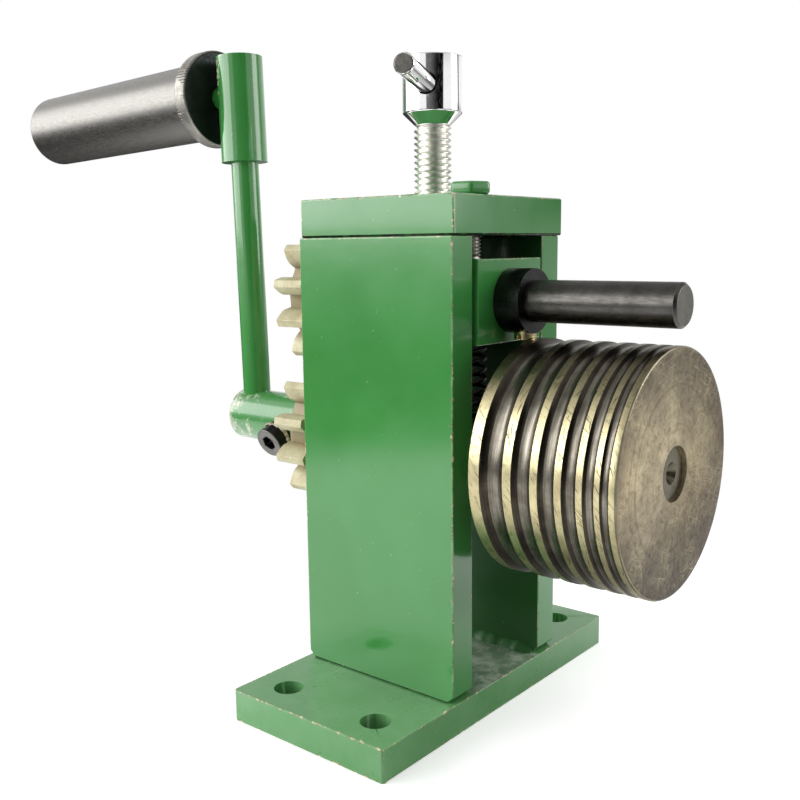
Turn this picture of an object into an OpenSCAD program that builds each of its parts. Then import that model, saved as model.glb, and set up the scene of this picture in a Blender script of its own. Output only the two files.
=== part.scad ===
// Bracelet rolling mill: two geared shafts in an upright frame on a bench base.
// X runs across the side plates, Y along the shafts with the roll in front at -Y, Z up.
// The origin is the middle of the base's underside. All sizes are in millimetres.

/* [Base] */
// Length of the base across the side plates
base_length = 148; // [130:1:180]
// Depth of the base along the shafts
base_depth = 72.5; // [71:0.5:90]
// Thickness of the base
base_thick = 12; // [8:0.5:16]
// Radius of the upright corners of the base
base_corner = 1.5; // [0.5:0.5:6]
// Diameter of the four bench holes
bench_hole_d = 11; // [8:0.5:13]
// Distance from each end of the base to its holes
bench_hole_end = 13.7; // [10:0.1:16]
// Distance from the front and rear edges of the base to the holes
bench_hole_edge = 15; // [10:0.5:25]

/* [Frame] */
// Thickness of each side plate
plate_thick = 12; // [10:0.5:14]
// Height of the side plates above the base
plate_height = 165; // [164:1:175]
// Depth of the side plates along the shafts
plate_depth = 71; // [66:1:72]
// Clear width between the side plates
plate_gap = 45; // [45:0.5:50]
// Bevel on the foot corners of the side plates
plate_bevel = 2.5; // [1:0.5:4]
// Leg length of the weld beads inside the frame
weld_leg = 3.5; // [2:0.5:5]
// Thickness of the top plate
top_thick = 14; // [10:1:18]
// How far the top plate is longer than the frame's outer width
top_extra = 1; // [0:0.5:4]
// Offset of the top plate to the right
top_offset_x = 1; // [0:0.5:2]
// Offset of the top plate to the front
top_offset_y = 0.5; // [0:0.5:1]
// Thread diameter of the countersunk screws in the top plate
top_screw_d = 6; // [5:1:6]
// Length of the countersunk screws in the top plate
top_screw_length = 30; // [24:1:35]

/* [Bearing blocks] */
// Height of the lower shaft's axis above the bench
lower_axis_height = 99; // [97:0.5:100]
// Height of both bearing blocks
block_height = 30; // [29:0.5:31]
// How far the upper block stands out of the frame at each end
block_proud = 0.8; // [0.5:0.1:2]
// Length of the narrowed ends of the upper block
block_end_length = 8; // [4:0.5:10]
// Depth of the narrowed ends of the upper block, each side
block_end_recess = 1.9; // [1:0.1:2.2]
// Gap between the upper block and each side plate
slide_clearance = 0.1; // [0.05:0.01:0.2]
// Outer diameter of the upper shaft's bush
upper_bush_d = 19; // [18:0.5:20]
// Outer diameter of the lower shaft's bush
lower_bush_d = 22; // [21:0.5:24]
// Radial running clearance of shafts and pins
run_clearance = 0.05; // [0.02:0.01:0.08]
// Gap between faces that turn past each other
face_clearance = 0.2; // [0.1:0.05:0.4]

/* [Shafts and grooved roll] */
// Diameter of the upper shaft
upper_shaft_d = 15; // [13:0.5:16]
// How far the upper shaft reaches in front of the side plates
upper_shaft_reach = 66.5; // [60:0.5:75]
// Chamfer on the upper shaft's front end
shaft_chamfer = 1; // [0.5:0.1:2]
// Diameter of the lower shaft in its bush and in the roll
lower_shaft_d = 18; // [17:0.5:19]
// Diameter of the lower shaft's rear end
lower_tail_d = 15; // [13:0.5:16]
// Outer diameter of the collar on the upper shaft
collar_d = 23; // [20:0.5:24]
// Width of the collar on the upper shaft
collar_width = 10; // [8:0.5:10]
// Distance from the rear of the collar to its screw
collar_screw_place = 6; // [4.5:0.1:6]
// Head diameter of the collar's screw
collar_screw_head_d = 8; // [6:0.5:8]
// How far the head of the collar's screw stands out
collar_screw_head_height = 3.2; // [2:0.1:3.5]
// Thread diameter of the collar's screw
collar_screw_d = 5; // [4:0.5:6]
// Diameter of the grooved roll
roll_d = 84; // [78:0.5:85]
// Gap between the side plates and the grooved roll
roll_stand = 11.5; // [11.5:0.5:14]
// Width of the widest groove, next to the frame
wide_groove = 9; // [7:0.5:10]
// Width of the widest land, next to the frame
wide_land = 4.5; // [3:0.5:6]
// Diameter of the counterbore in the front of the roll
roll_counterbore_d = 18.6; // [18.6:0.1:24]
// Depth of the counterbore in the front of the roll
roll_counterbore_depth = 1.5; // [1:0.1:3]
// Bevel on the front rim of the roll
roll_rim_bevel = 0.6; // [0.3:0.1:0.8]
// Mouth diameter of the centre hole in the lower shaft
centre_hole_d = 7.6; // [5:0.1:9]
// Depth of the centre hole in the lower shaft
centre_hole_depth = 9; // [6:0.5:14]
// Outer diameter of the spacer behind the roll
front_spacer_d = 30; // [26:1:34]

/* [Gears] */
// Module of both gears
gear_module = 4.2; // [4.1:0.05:4.2]
// Width of both gears
gear_width = 15; // [12:0.5:16]
// Gap between the side plates and the gears
gear_stand = 4.5; // [4:0.5:6]
// How far the shafts lie apart beyond the gears' standard distance
mesh_lift = 2.5; // [2.4:0.1:2.8]
// Width of the flat top of each tooth
tooth_top_width = 1.6; // [1.2:0.1:1.6]
// Radius of the rounded corners at the top of each tooth
tooth_round = 0.5; // [0.3:0.1:0.7]
// Width of the square keys under the gears
key_width = 5; // [4:0.5:5]

/* [Press screw] */
// Outer diameter of the press screw's thread
screw_d = 14; // [12:0.5:16]
// Thread pitch of the press screw
screw_pitch = 2.25; // [1.5:0.25:2.5]
// Length of thread that shows above the top plate
screw_shown = 27; // [24:1:32]
// Diameter of the press screw's head
screw_head_d = 22.5; // [20:0.5:26]
// Height of the press screw's head without its cone
screw_head_height = 20; // [18:1:28]
// Height of the cone under the press screw's head
screw_head_cone = 4; // [2:0.5:5]
// How far the press screw sits in front of the frame's middle
screw_forward = 1.5; // [0:0.5:3]
// Diameter of the press screw's plain tip
screw_tip_d = 10; // [8:0.5:10.5]
// Depth of the tip's seat in the upper block
screw_seat_depth = 3; // [1.5:0.5:3.5]
// Diameter of the tommy bar
bar_d = 7.4; // [6:0.1:8]
// Reach of the tommy bar's long side from the screw's axis
bar_long_reach = 42; // [35:0.5:60]
// Reach of the tommy bar's short side from the screw's axis
bar_short_reach = 30; // [20:0.5:34]
// Chamfer on the tommy bar's ends
bar_chamfer = 0.5; // [0.3:0.1:0.8]

/* [Guide bolt and return springs] */
// Thread diameter of the guide bolt
guide_d = 8; // [6:0.5:8]
// Thread pitch of the guide bolt
guide_pitch = 1.25; // [1:0.05:1.5]
// Width of the guide bolt's hexagon head across its corners
guide_head_d = 15.5; // [13:0.5:17]
// Head height of the guide bolt
guide_head_height = 4.4; // [3:0.1:6]
// Distance of the guide bolt from the frame's middle
guide_side = 14.5; // [14.4:0.1:14.8]
// Distance of the return springs from the frame's middle
spring_side = 13.8; // [13.5:0.1:14.2]
// Distance of the guide bolt and springs from the upper block's end
guide_inset = 7.6; // [7:0.1:9]
// Outer diameter of the return springs
spring_d = 11.4; // [10:0.1:11.6]
// Wire diameter of the return springs
spring_wire = 1.3; // [1:0.1:1.4]
// Depth of the springs' seats in both blocks
spring_seat = 2; // [1:0.5:3]

/* [Crank] */
// Diameter of the crank's hub
hub_d = 22.5; // [20:0.5:26]
// Length of the crank's hub
hub_length = 51; // [50:1:58]
// Distance from the front of the hub to the arm
arm_place = 44; // [36:0.1:44.5]
// Diameter of the crank arm
arm_d = 12; // [10:0.5:13]
// Distance from the lower shaft's axis to the grip's axis
crank_reach = 140.4; // [120:0.1:160]
// Diameter of the arm's socket
socket_d = 20; // [17:0.5:24]
// Length of the arm's socket
socket_length = 44.5; // [40:0.5:55]
// How far the socket stands above the grip's axis
socket_above = 15.8; // [11:0.1:20]
// Diameter of the grip's pin
pin_d = 10; // [8:0.5:11]
// Length of pin that shows between the socket and the grip
pin_shown = 3; // [2:0.5:6]
// Diameter of the grip
grip_d = 33.6; // [28:0.1:36]
// Length of the grip with its flange
grip_length = 131; // [100:1:140]
// Diameter of the grip's flange
grip_flange_d = 41.5; // [38:0.5:48]
// Width of the grip's flange
grip_flange_width = 7.5; // [5:0.5:10]
// Diameter of the recess in the grip's far end
grip_recess_d = 20; // [18:0.5:22]
// Depth of the recess in the grip's far end
grip_recess_depth = 8; // [7:0.5:12]
// Head diameter of the hub's clamp screw
clamp_head_d = 13; // [10:0.5:13]
// Head height of the hub's clamp screw
clamp_head_height = 8; // [6:0.5:8]
// Thread diameter of the hub's clamp screw
clamp_screw_d = 8; // [6:0.5:8]
// Distance from the front of the hub to the clamp screw
clamp_place = 19; // [12:0.5:20]

/* [Small screws] */
// Thread diameter of the end screws on the upper shaft and the pin
end_screw_d = 6; // [4:0.5:6]
// Head diameter of the end screws
end_screw_head_d = 10; // [9:0.5:11]
// Head height of the end screws
end_screw_head_height = 4; // [3:0.5:5]
// Thread length of the end screws
end_screw_length = 16; // [10:1:20]
// Outer diameter of the washers under the end screws
end_washer_d = 18; // [16:0.5:18]
// Thickness of the washers under the end screws
end_washer_thick = 1.6; // [1:0.1:2]

/* [Hidden] */
$fn = 64;
overrun = 1;

upper_teeth = 12;
lower_teeth = 13;
pressure_angle = 14.5;
tip_share = 1.2;
root_share = 1;
flank_steps = 6;
round_steps = 3;
mesh_phase_share = 0.355;
// The lower gear has a gap where the upper one has a tooth, and an odd number of teeth
lower_phase_share = lower_teeth / 2 - 0.5 - mesh_phase_share;

// Places along one turn of a thread where its root ends, its crest starts and its crest ends
thread_shares = [0.25, 0.56, 0.69];

// Each groove and land as a share of the widest one, from the frame to the front
groove_shares = [1, 0.78, 0.67, 0.56, 0.44, 0.33];
land_shares = [1, 0.71, 0.6, 0.55, 0.49, 0.42, 0.56];
groove_depth_share = 0.24;
hex_share = 0.46;
socket_depth_share = 0.5;
thread_depth_share = 0.6;
centre_cone_share = 0.45;

arm_lean = 1.7;
clamp_angle = 24;
guide_head_turn = 8;
bar_angle = 24.3;
bar_tilt = 3;
bar_height_share = 0.445;
spring_curls = 6;
spring_rings = 8;
spring_sides = 6;

bench_hole_x = base_length / 2 - bench_hole_end;
bench_hole_y = base_depth / 2 - bench_hole_edge;

frame_front = -plate_depth / 2;
frame_rear = plate_depth / 2;
frame_top = base_thick + plate_height;
plate_inner = plate_gap / 2;
plate_outer = plate_inner + plate_thick;

axis_distance = gear_module * (upper_teeth + lower_teeth) / 2 + mesh_lift;
upper_axis_height = lower_axis_height + axis_distance;
upper_block_bottom = upper_axis_height - block_height / 2;
upper_block_top = upper_axis_height + block_height / 2;
lower_block_bottom = lower_axis_height - block_height / 2;
lower_block_top = lower_axis_height + block_height / 2;
upper_block_front = frame_front - block_proud;
upper_block_rear = frame_rear + block_proud;

gear_front = frame_rear + gear_stand;
gear_rear = gear_front + gear_width;
upper_shaft_front = frame_front - upper_shaft_reach;
upper_shaft_rear = gear_rear - end_washer_thick / 2;
collar_rear = upper_block_front - face_clearance;
collar_seat = sqrt(pow(collar_d / 2, 2) - pow(collar_screw_head_d / 2, 2)) - face_clearance;

function sum(v, count) = count <= 0 ? 0 : v[count - 1] + sum(v, count - 1);
grooves = wide_groove * groove_shares;
lands = wide_land * land_shares;
roll_length = sum(grooves, len(grooves)) + sum(lands, len(lands));
roll_rear = frame_front - roll_stand;
roll_front = roll_rear - roll_length;
lower_shaft_front = roll_front + roll_counterbore_depth;

hub_front = gear_rear;
hub_rear = hub_front + hub_length;
arm_y = hub_front + arm_place;
clamp_y = hub_front + clamp_place;
tail_rear = hub_rear - overrun;
clamp_seat = lower_tail_d / 2 - overrun;
arm_foot = lower_tail_d / 2 + overrun / 2;
socket_bottom = crank_reach + socket_above - socket_length;

screw_head_bottom = frame_top + top_thick + screw_shown;
bar_height = screw_head_bottom + screw_head_cone + screw_head_height * bar_height_share;
screw_tip_bottom = upper_block_top - screw_seat_depth + run_clearance;
screw_thread_bottom = frame_top - block_end_length / 2;

guide_y = upper_block_front + guide_inset;
guide_bottom = upper_block_bottom + block_height / 3;
spring_bottom = lower_block_top - spring_seat;
spring_top = upper_block_bottom + spring_seat;

grip_front = socket_d / 2 + pin_shown;
pin_end = grip_front + grip_length - grip_recess_depth;

// A cylinder along Y between two places
module y_rod(d, from, to) {
    translate([0, from, 0]) rotate([-90, 0, 0]) cylinder(d = d, h = to - from);
}

// A rod along Y with a chamfer on its front end
module y_rod_chamfered(d, from, to, chamfer) {
    translate([0, from, 0]) rotate([-90, 0, 0]) rotate_extrude()
        polygon([[0, 0], [d / 2 - chamfer, 0], [d / 2, chamfer], [d / 2, to - from], [0, to - from]]);
}

// A flat plate with rounded upright corners
module rounded_plate(length, depth, thick, corner) {
    linear_extrude(thick) union() {
        square([length - 2 * corner, depth], center = true);
        square([length, depth - 2 * corner], center = true);
        for (x = [-1, 1], y = [-1, 1])
            translate([x * (length / 2 - corner), y * (depth / 2 - corner)]) circle(r = corner);
    }
}

// A rod with thread grooves around it, standing on its lower end
module threaded_rod(d, pitch, length) {
    turns = max(1, round(length / pitch));
    step = length / turns;
    inner = d / 2 - pitch * thread_depth_share;
    rotate_extrude() polygon(concat(
        [[0, 0]],
        [for (i = [0 : turns - 1], p = [
            [inner, 0], [inner, thread_shares[0]], [d / 2, thread_shares[1]], [d / 2, thread_shares[2]]
        ]) [p[0], (i + p[1]) * step]],
        [[inner, length], [0, length]]
    ));
}

// A screw head with a hexagon socket, its underside at zero and its top up
module socket_head(d, height) {
    difference() {
        cylinder(d = d, h = height);
        translate([0, 0, height * (1 - socket_depth_share)])
            cylinder(d = d * hex_share / cos(30), h = height * socket_depth_share + overrun, $fn = 6);
    }
}

// Both places of the springs, with the front left one first
module at_springs() {
    translate([-spring_side, guide_y, 0]) children();
    translate([spring_side, -guide_y, 0]) children();
}

module at_upper_axis() {
    translate([0, 0, upper_axis_height]) children();
}

module at_lower_axis() {
    translate([0, 0, lower_axis_height]) children();
}

module base_plate() {
    color("seagreen") difference() {
        rounded_plate(base_length, base_depth, base_thick, base_corner);
        for (x = [-1, 1], y = [-1, 1])
            translate([x * bench_hole_x, y * bench_hole_y, -overrun])
                cylinder(d = bench_hole_d, h = base_thick + 2 * overrun);
    }
}

// One side plate, seen from the side, with bevelled foot corners
module side_plate(inner) {
    half = plate_depth / 2;
    difference() {
        translate([inner, 0, base_thick]) rotate([90, 0, 90]) linear_extrude(plate_thick) polygon([
            [-half + plate_bevel, 0], [half - plate_bevel, 0], [half, plate_bevel],
            [half, plate_height], [-half, plate_height], [-half, plate_bevel]
        ]);
        for (y = [-1, 1] * plate_depth / 4)
            translate([inner + plate_thick / 2, y, frame_top - top_screw_length + top_thick])
                cylinder(d = top_screw_d, h = top_screw_length);
    }
}

module left_side_plate() {
    color("mediumseagreen") side_plate(-plate_outer);
}

module right_side_plate() {
    color("mediumseagreen") side_plate(plate_inner);
}

// Beads along the feet of the side plates and under the lower block
module frame_welds() {
    color("darkseagreen") for (side = [-1, 1], bead = [[base_thick, 1], [lower_block_bottom, -1]])
        translate([side * plate_inner, 0, bead[0]]) rotate([90, 0, 0])
            linear_extrude(plate_depth - 2 * plate_bevel, center = true)
                polygon([[0, 0], [-side * weld_leg, 0], [0, bead[1] * weld_leg]]);
}

// The places of the countersunk screws, at the top plate's upper face
module at_top_screws() {
    for (x = [-1, 1], y = [-1, 1])
        translate([x * (plate_inner + plate_thick / 2), y * plate_depth / 4, frame_top + top_thick])
            children();
}

// The cone of a countersunk screw, with its wide end at zero
module countersink() {
    depth = top_screw_d / 2;
    translate([0, 0, -depth]) cylinder(d1 = top_screw_d, d2 = 2 * top_screw_d, h = depth);
}

module top_plate() {
    color("seagreen") difference() {
        translate([top_offset_x - plate_outer - top_extra / 2, frame_front - top_offset_y, frame_top])
            cube([2 * plate_outer + top_extra, plate_depth, top_thick]);
        at_top_screws() {
            translate([0, 0, -top_thick - overrun]) cylinder(d = top_screw_d, h = top_thick + overrun);
            countersink();
        }
        translate([0, -screw_forward, frame_top - overrun])
            cylinder(d = screw_d + 2 * run_clearance, h = top_thick + 2 * overrun);
        translate([-guide_side, guide_y, frame_top - overrun])
            cylinder(d = guide_d, h = top_thick + 2 * overrun);
    }
}

module top_plate_screws() {
    color("silver") at_top_screws() difference() {
        union() {
            countersink();
            translate([0, 0, -top_screw_length])
                cylinder(d = top_screw_d, h = top_screw_length - top_screw_d / 2);
        }
        translate([0, 0, -top_screw_d / 2])
            cylinder(d = 2 * top_screw_d * hex_share, h = top_screw_d / 2 + overrun, $fn = 6);
    }
}

// Bolt fixed in the top plate, whose plain lower end guides the upper block
module guide_bolt() {
    thread = top_thick + block_height / 4;
    corner = guide_head_d / 2;
    color("gainsboro") translate([-guide_side, guide_y, 0]) {
        translate([0, 0, frame_top + top_thick]) rotate(guide_head_turn) intersection() {
            cylinder(d = guide_head_d, h = guide_head_height, $fn = 6);
            rotate_extrude() polygon([
                [0, 0], [corner + overrun, 0], [corner + overrun, guide_head_height / 2],
                [corner - guide_head_height / 2, guide_head_height], [0, guide_head_height]
            ]);
        }
        translate([0, 0, frame_top + top_thick - thread]) threaded_rod(guide_d, guide_pitch, thread);
        translate([0, 0, guide_bottom])
            cylinder(d = guide_d, h = frame_top + top_thick - thread - guide_bottom);
    }
}

module lower_bearing_block() {
    color("dimgray") difference() {
        translate([-plate_inner, frame_front, lower_block_bottom])
            cube([plate_gap, plate_depth, block_height]);
        at_lower_axis() y_rod(lower_bush_d, frame_front - overrun, frame_rear + overrun);
        at_springs() translate([0, 0, spring_bottom])
            cylinder(d = spring_d + 2 * face_clearance, h = spring_seat + overrun);
    }
}

module lower_bush() {
    color("peru") at_lower_axis() difference() {
        y_rod(lower_bush_d, frame_front, frame_rear);
        y_rod(lower_shaft_d + 2 * run_clearance, frame_front - overrun, frame_rear + overrun);
    }
}

// The springs' wire runs up, bends into a helix and comes out straight at the top
spring_radius = (spring_d - spring_wire) / 2;
spring_bend = spring_wire;
spring_rise = spring_top - spring_bottom - 2 * (spring_wire + spring_bend);
bend_steps = 3;
function helix_point(turn, z) = [spring_radius * cos(360 * turn), spring_radius * sin(360 * turn), z];
function arc_turn(length) = length / (2 * PI * spring_radius);
spring_path = concat(
    [helix_point(0, 0)],
    [for (i = [0 : bend_steps - 1])
        let (a = 90 * i / bend_steps)
        helix_point(arc_turn(spring_bend * (1 - cos(a))), spring_wire + spring_bend * sin(a))],
    [for (i = [0 : spring_curls * spring_rings])
        helix_point(arc_turn(spring_bend) + i / spring_rings,
            spring_wire + spring_bend + spring_rise * i / (spring_curls * spring_rings))],
    [for (i = [bend_steps - 1 : -1 : 0])
        let (a = 90 * i / bend_steps)
        helix_point(2 * arc_turn(spring_bend) + spring_curls - arc_turn(spring_bend * (1 - cos(a))),
            spring_top - spring_bottom - spring_wire - spring_bend * sin(a))],
    [helix_point(2 * arc_turn(spring_bend) + spring_curls, spring_top - spring_bottom)]
);
function unit(v) = v / norm(v);
function path_way(p, i) = let (last = len(p) - 1)
    i <= 1 || i >= last - 1 ? [0, 0, 1] : unit(p[i + 1] - p[i - 1]);
function wire_ring(p, i) = let (
    way = path_way(p, i),
    out = unit([p[i][0], p[i][1], 0]),
    side = unit(out - (out * way) * way),
    up = cross(way, side)
) [for (k = [0 : spring_sides - 1])
    p[i] + spring_wire / 2 * (cos(360 * k / spring_sides) * side + sin(360 * k / spring_sides) * up)];
spring_gap = min([for (i = [0 : len(spring_path) - 1], j = [i + spring_rings / 2 : 1 : len(spring_path) - 1])
    norm(spring_path[i] - spring_path[j])]) - spring_wire;
echo("least gap of a return spring to itself", spring_gap);

module wire_spring() {
    rings = len(spring_path);
    n = spring_sides;
    polyhedron(
        points = [for (i = [0 : rings - 1]) each wire_ring(spring_path, i)],
        faces = concat(
            [for (k = [1 : n - 2]) [0, k, k + 1]],
            [for (i = [0 : rings - 2], k = [0 : n - 1])
                [i * n + k, (i + 1) * n + k, (i + 1) * n + (k + 1) % n]],
            [for (i = [0 : rings - 2], k = [0 : n - 1])
                [i * n + k, (i + 1) * n + (k + 1) % n, i * n + (k + 1) % n]],
            [for (k = [1 : n - 2]) [(rings - 1) * n, (rings - 1) * n + k + 1, (rings - 1) * n + k]]
        )
    );
}

module return_springs() {
    color("lightgray") at_springs() translate([0, 0, spring_bottom]) wire_spring();
}

module upper_bearing_block() {
    half = plate_inner - slide_clearance;
    length = upper_block_rear - upper_block_front;
    color("seagreen") difference() {
        translate([-half, upper_block_front, upper_block_bottom]) cube([2 * half, length, block_height]);
        for (x = [-1, 1], y = [-1, 1])
            translate([x * half, y * length / 2, upper_axis_height]) cube([
                2 * block_end_recess, 2 * block_end_length, block_height + 2 * overrun
            ], center = true);
        at_upper_axis() y_rod(upper_bush_d, upper_block_front - overrun, upper_block_rear + overrun);
        translate([0, -screw_forward, upper_block_top - screw_seat_depth])
            cylinder(d = screw_tip_d + 2 * run_clearance, h = screw_seat_depth + overrun);
        translate([-guide_side, guide_y, guide_bottom - block_height / 6])
            cylinder(d = guide_d + 2 * run_clearance, h = block_height);
        at_springs() translate([0, 0, upper_block_bottom - overrun])
            cylinder(d = spring_d + 2 * face_clearance, h = spring_seat + overrun);
    }
}

module upper_bush() {
    color("peru") at_upper_axis() difference() {
        y_rod(upper_bush_d, upper_block_front, upper_block_rear);
        y_rod(upper_shaft_d + 2 * run_clearance, upper_block_front - overrun, upper_block_rear + overrun);
    }
}

module press_screw() {
    color("lightsteelblue") translate([0, -screw_forward, 0]) difference() {
        union() {
            translate([0, 0, screw_tip_bottom])
                cylinder(d = screw_tip_d, h = screw_thread_bottom - screw_tip_bottom);
            translate([0, 0, screw_thread_bottom])
                threaded_rod(screw_d, screw_pitch, screw_head_bottom - screw_thread_bottom);
            translate([0, 0, screw_head_bottom])
                cylinder(d1 = screw_d, d2 = screw_head_d, h = screw_head_cone);
            translate([0, 0, screw_head_bottom + screw_head_cone]) rotate_extrude() polygon([
                [0, 0], [screw_head_d / 2, 0], [screw_head_d / 2, screw_head_height - screw_head_cone / 8],
                [screw_head_d / 2 - screw_head_cone / 8, screw_head_height], [0, screw_head_height]
            ]);
        }
        translate([0, 0, bar_height]) rotate([0, 90 + bar_tilt, bar_angle])
            cylinder(d = bar_d, h = 2 * screw_head_d, center = true);
    }
}

module tommy_bar() {
    r = bar_d / 2;
    length = bar_long_reach + bar_short_reach;
    color("silver") translate([0, -screw_forward, bar_height]) rotate([0, 90 + bar_tilt, bar_angle])
        translate([0, 0, -bar_long_reach]) rotate_extrude() polygon([
            [0, 0], [r - bar_chamfer, 0], [r, bar_chamfer], [r, length - bar_chamfer],
            [r - bar_chamfer, length], [0, length]
        ]);
}

module upper_shaft() {
    color("dimgray") at_upper_axis() difference() {
        y_rod_chamfered(upper_shaft_d, upper_shaft_front, upper_shaft_rear, shaft_chamfer);
        y_rod(end_screw_d, upper_shaft_rear - end_screw_length, upper_shaft_rear + overrun);
        translate([0, gear_front, upper_shaft_d / 2]) rotate([-90, 0, 0])
            linear_extrude(gear_width + overrun) square(key_width, center = true);
    }
}

module front_collar() {
    color("darkslategray") at_upper_axis() difference() {
        y_rod(collar_d, collar_rear - collar_width, collar_rear);
        y_rod(upper_shaft_d, collar_rear - collar_width - overrun, collar_rear + overrun);
        at_collar_screw() {
            cylinder(d = collar_screw_d, h = collar_d);
            translate([0, 0, collar_seat]) cylinder(d = collar_screw_head_d, h = collar_d);
        }
    }
}

// The collar screw's axis, with Z pointing down along it from the shaft's axis
module at_collar_screw() {
    translate([0, collar_rear - collar_screw_place, 0]) rotate([180, 0, 0]) children();
}

// Screw that pinches the collar on the upper shaft, with its slotted head below
module collar_screw() {
    color("gold") at_upper_axis() at_collar_screw() difference() {
        union() {
            translate([0, 0, collar_seat]) cylinder(d = collar_screw_head_d, h = collar_screw_head_height);
            translate([0, 0, upper_shaft_d / 2])
                cylinder(d = collar_screw_d, h = collar_seat - upper_shaft_d / 2);
        }
        translate([0, 0, collar_seat + collar_screw_head_height])
            cube([2 * collar_screw_head_d, collar_screw_d / 4, collar_screw_head_height], center = true);
    }
}

module rear_spacer() {
    color("darkslategray") at_upper_axis() difference() {
        y_rod(collar_d, upper_block_rear + face_clearance, gear_front);
        y_rod(upper_shaft_d, upper_block_rear, gear_front + overrun);
    }
}

function involute(a) = tan(a) - a * PI / 180;

// Half the angle of a tooth at a radius, constant below the base circle
function half_tooth(teeth, r) = let (
    base_r = gear_module * teeth / 2 * cos(pressure_angle),
    tip_r = gear_module * (teeth / 2 + tip_share),
    at_tip = (tooth_top_width / 2 + tooth_round) / tip_r + involute(acos(base_r / tip_r))
) (at_tip - (r > base_r ? involute(acos(base_r / r)) : 0)) * 180 / PI;

// Radius and half angle of the points up one side of a tooth, with a rounded top corner
function tooth_side(teeth) = let (
    tip = gear_module * (teeth / 2 + tip_share),
    base = gear_module * teeth / 2 * cos(pressure_angle),
    shoulder = tip - tooth_round
) concat(
    [[gear_module * (teeth / 2 - root_share), half_tooth(teeth, base)]],
    [for (i = [0 : flank_steps]) let (r = base + (shoulder - base) * i / flank_steps)
        [r, half_tooth(teeth, r)]],
    [for (i = [1 : round_steps]) let (a = 90 * i / round_steps, r = shoulder + tooth_round * sin(a))
        [r, half_tooth(teeth, shoulder) - tooth_round * (1 - cos(a)) / shoulder * 180 / PI]]
);

// Outline of a gear with its first tooth along +X
function gear_outline(teeth) = let (side = tooth_side(teeth), last = len(side) - 1)
    [for (t = [0 : teeth - 1], s = [-1, 1], i = [0 : last])
        let (p = side[s < 0 ? i : last - i], a = 360 * t / teeth + s * p[1])
        [p[0] * cos(a), p[0] * sin(a)]];

// A gear along Y whose tooth number nought points down, turned by a share of its pitch
module gear(teeth, turn_share, bore) {
    translate([0, gear_front, 0]) rotate([-90, 0, 0]) difference() {
        linear_extrude(gear_width) difference() {
            rotate(90 + turn_share * 360 / teeth) polygon(gear_outline(teeth));
            circle(d = bore);
        }
        translate([0, -bore / 2, gear_width / 2])
            cube([key_width, key_width, gear_width + 2 * overrun], center = true);
    }
}

module upper_gear() {
    color("wheat") at_upper_axis() gear(upper_teeth, mesh_phase_share, upper_shaft_d);
}

// A square key half sunk in its shaft
module gear_key(shaft_d, length) {
    translate([0, gear_front + length / 2, shaft_d / 2]) cube([key_width, length, key_width], center = true);
}

module upper_gear_key() {
    color("gray") at_upper_axis() gear_key(upper_shaft_d, upper_shaft_rear - gear_front);
}

// A washer along Y that sits on a face looking to the rear
module end_washer() {
    rotate([-90, 0, 0]) difference() {
        cylinder(d = end_washer_d, h = end_washer_thick);
        translate([0, 0, -overrun]) cylinder(d = end_screw_d, h = end_washer_thick + 2 * overrun);
    }
}

// A socket screw along Y whose head sits on a face looking to the rear
module end_screw() {
    rotate([-90, 0, 0]) {
        socket_head(end_screw_head_d, end_screw_head_height);
        translate([0, 0, -end_screw_length]) cylinder(d = end_screw_d, h = end_screw_length);
    }
}

module upper_end_washer() {
    color("silver") at_upper_axis() translate([0, gear_rear, 0]) end_washer();
}

module upper_end_screw() {
    color("darkslategray") at_upper_axis() translate([0, gear_rear + end_washer_thick, 0]) end_screw();
}

module lower_shaft() {
    color("slategray") at_lower_axis() difference() {
        union() {
            y_rod(lower_shaft_d, lower_shaft_front, frame_rear);
            y_rod(lower_tail_d, frame_rear - overrun, tail_rear);
        }
        translate([0, lower_shaft_front, 0]) rotate([-90, 0, 0]) rotate_extrude() polygon([
            [0, -overrun], [centre_hole_d / 2, -overrun], [centre_hole_d / 2, 0],
            [centre_hole_d / 2 * centre_cone_share, centre_hole_d * centre_cone_share],
            [centre_hole_d / 2 * centre_cone_share, centre_hole_depth], [0, centre_hole_depth]
        ]);
        translate([0, gear_front, lower_tail_d / 2]) rotate([-90, 0, 0])
            linear_extrude(gear_width) square(key_width, center = true);
        rotate([0, -90 - clamp_angle, 0]) translate([0, clamp_y, 0]) translate([0, 0, clamp_seat])
            cylinder(d = clamp_screw_d, h = lower_tail_d);
    }
}

// Radius at which each groove's arc cuts into the roll, from its width and depth
function groove_radius(w) = let (depth = w * groove_depth_share) (w * w / 4 + depth * depth) / (2 * depth);

module grooved_roll() {
    color("darkgoldenrod") at_lower_axis() translate([0, roll_rear, 0]) rotate([90, 0, 0]) difference() {
        rotate_extrude($fn = 96) difference() {
            polygon([
                [0, 0], [roll_d / 2, 0], [roll_d / 2, roll_length - roll_rim_bevel],
                [roll_d / 2 - roll_rim_bevel, roll_length], [0, roll_length]
            ]);
            for (i = [0 : len(grooves) - 1])
                translate([
                    roll_d / 2 + groove_radius(grooves[i]) - grooves[i] * groove_depth_share,
                    sum(lands, i + 1) + sum(grooves, i) + grooves[i] / 2
                ]) circle(r = groove_radius(grooves[i]));
        }
        translate([0, 0, -overrun]) cylinder(d = lower_shaft_d, h = roll_length + 2 * overrun);
        translate([0, 0, roll_length - roll_counterbore_depth])
            cylinder(d = roll_counterbore_d, h = roll_counterbore_depth + overrun);
    }
}

module front_spacer() {
    color("darkslategray") at_lower_axis() difference() {
        y_rod(front_spacer_d, roll_rear, frame_front - face_clearance);
        y_rod(lower_shaft_d, roll_rear - overrun, frame_front);
    }
}

module lower_rear_spacer() {
    color("darkslategray") at_lower_axis() difference() {
        y_rod(lower_bush_d + weld_leg, frame_rear + face_clearance, gear_front);
        y_rod(lower_tail_d, frame_rear, gear_front + overrun);
    }
}

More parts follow.
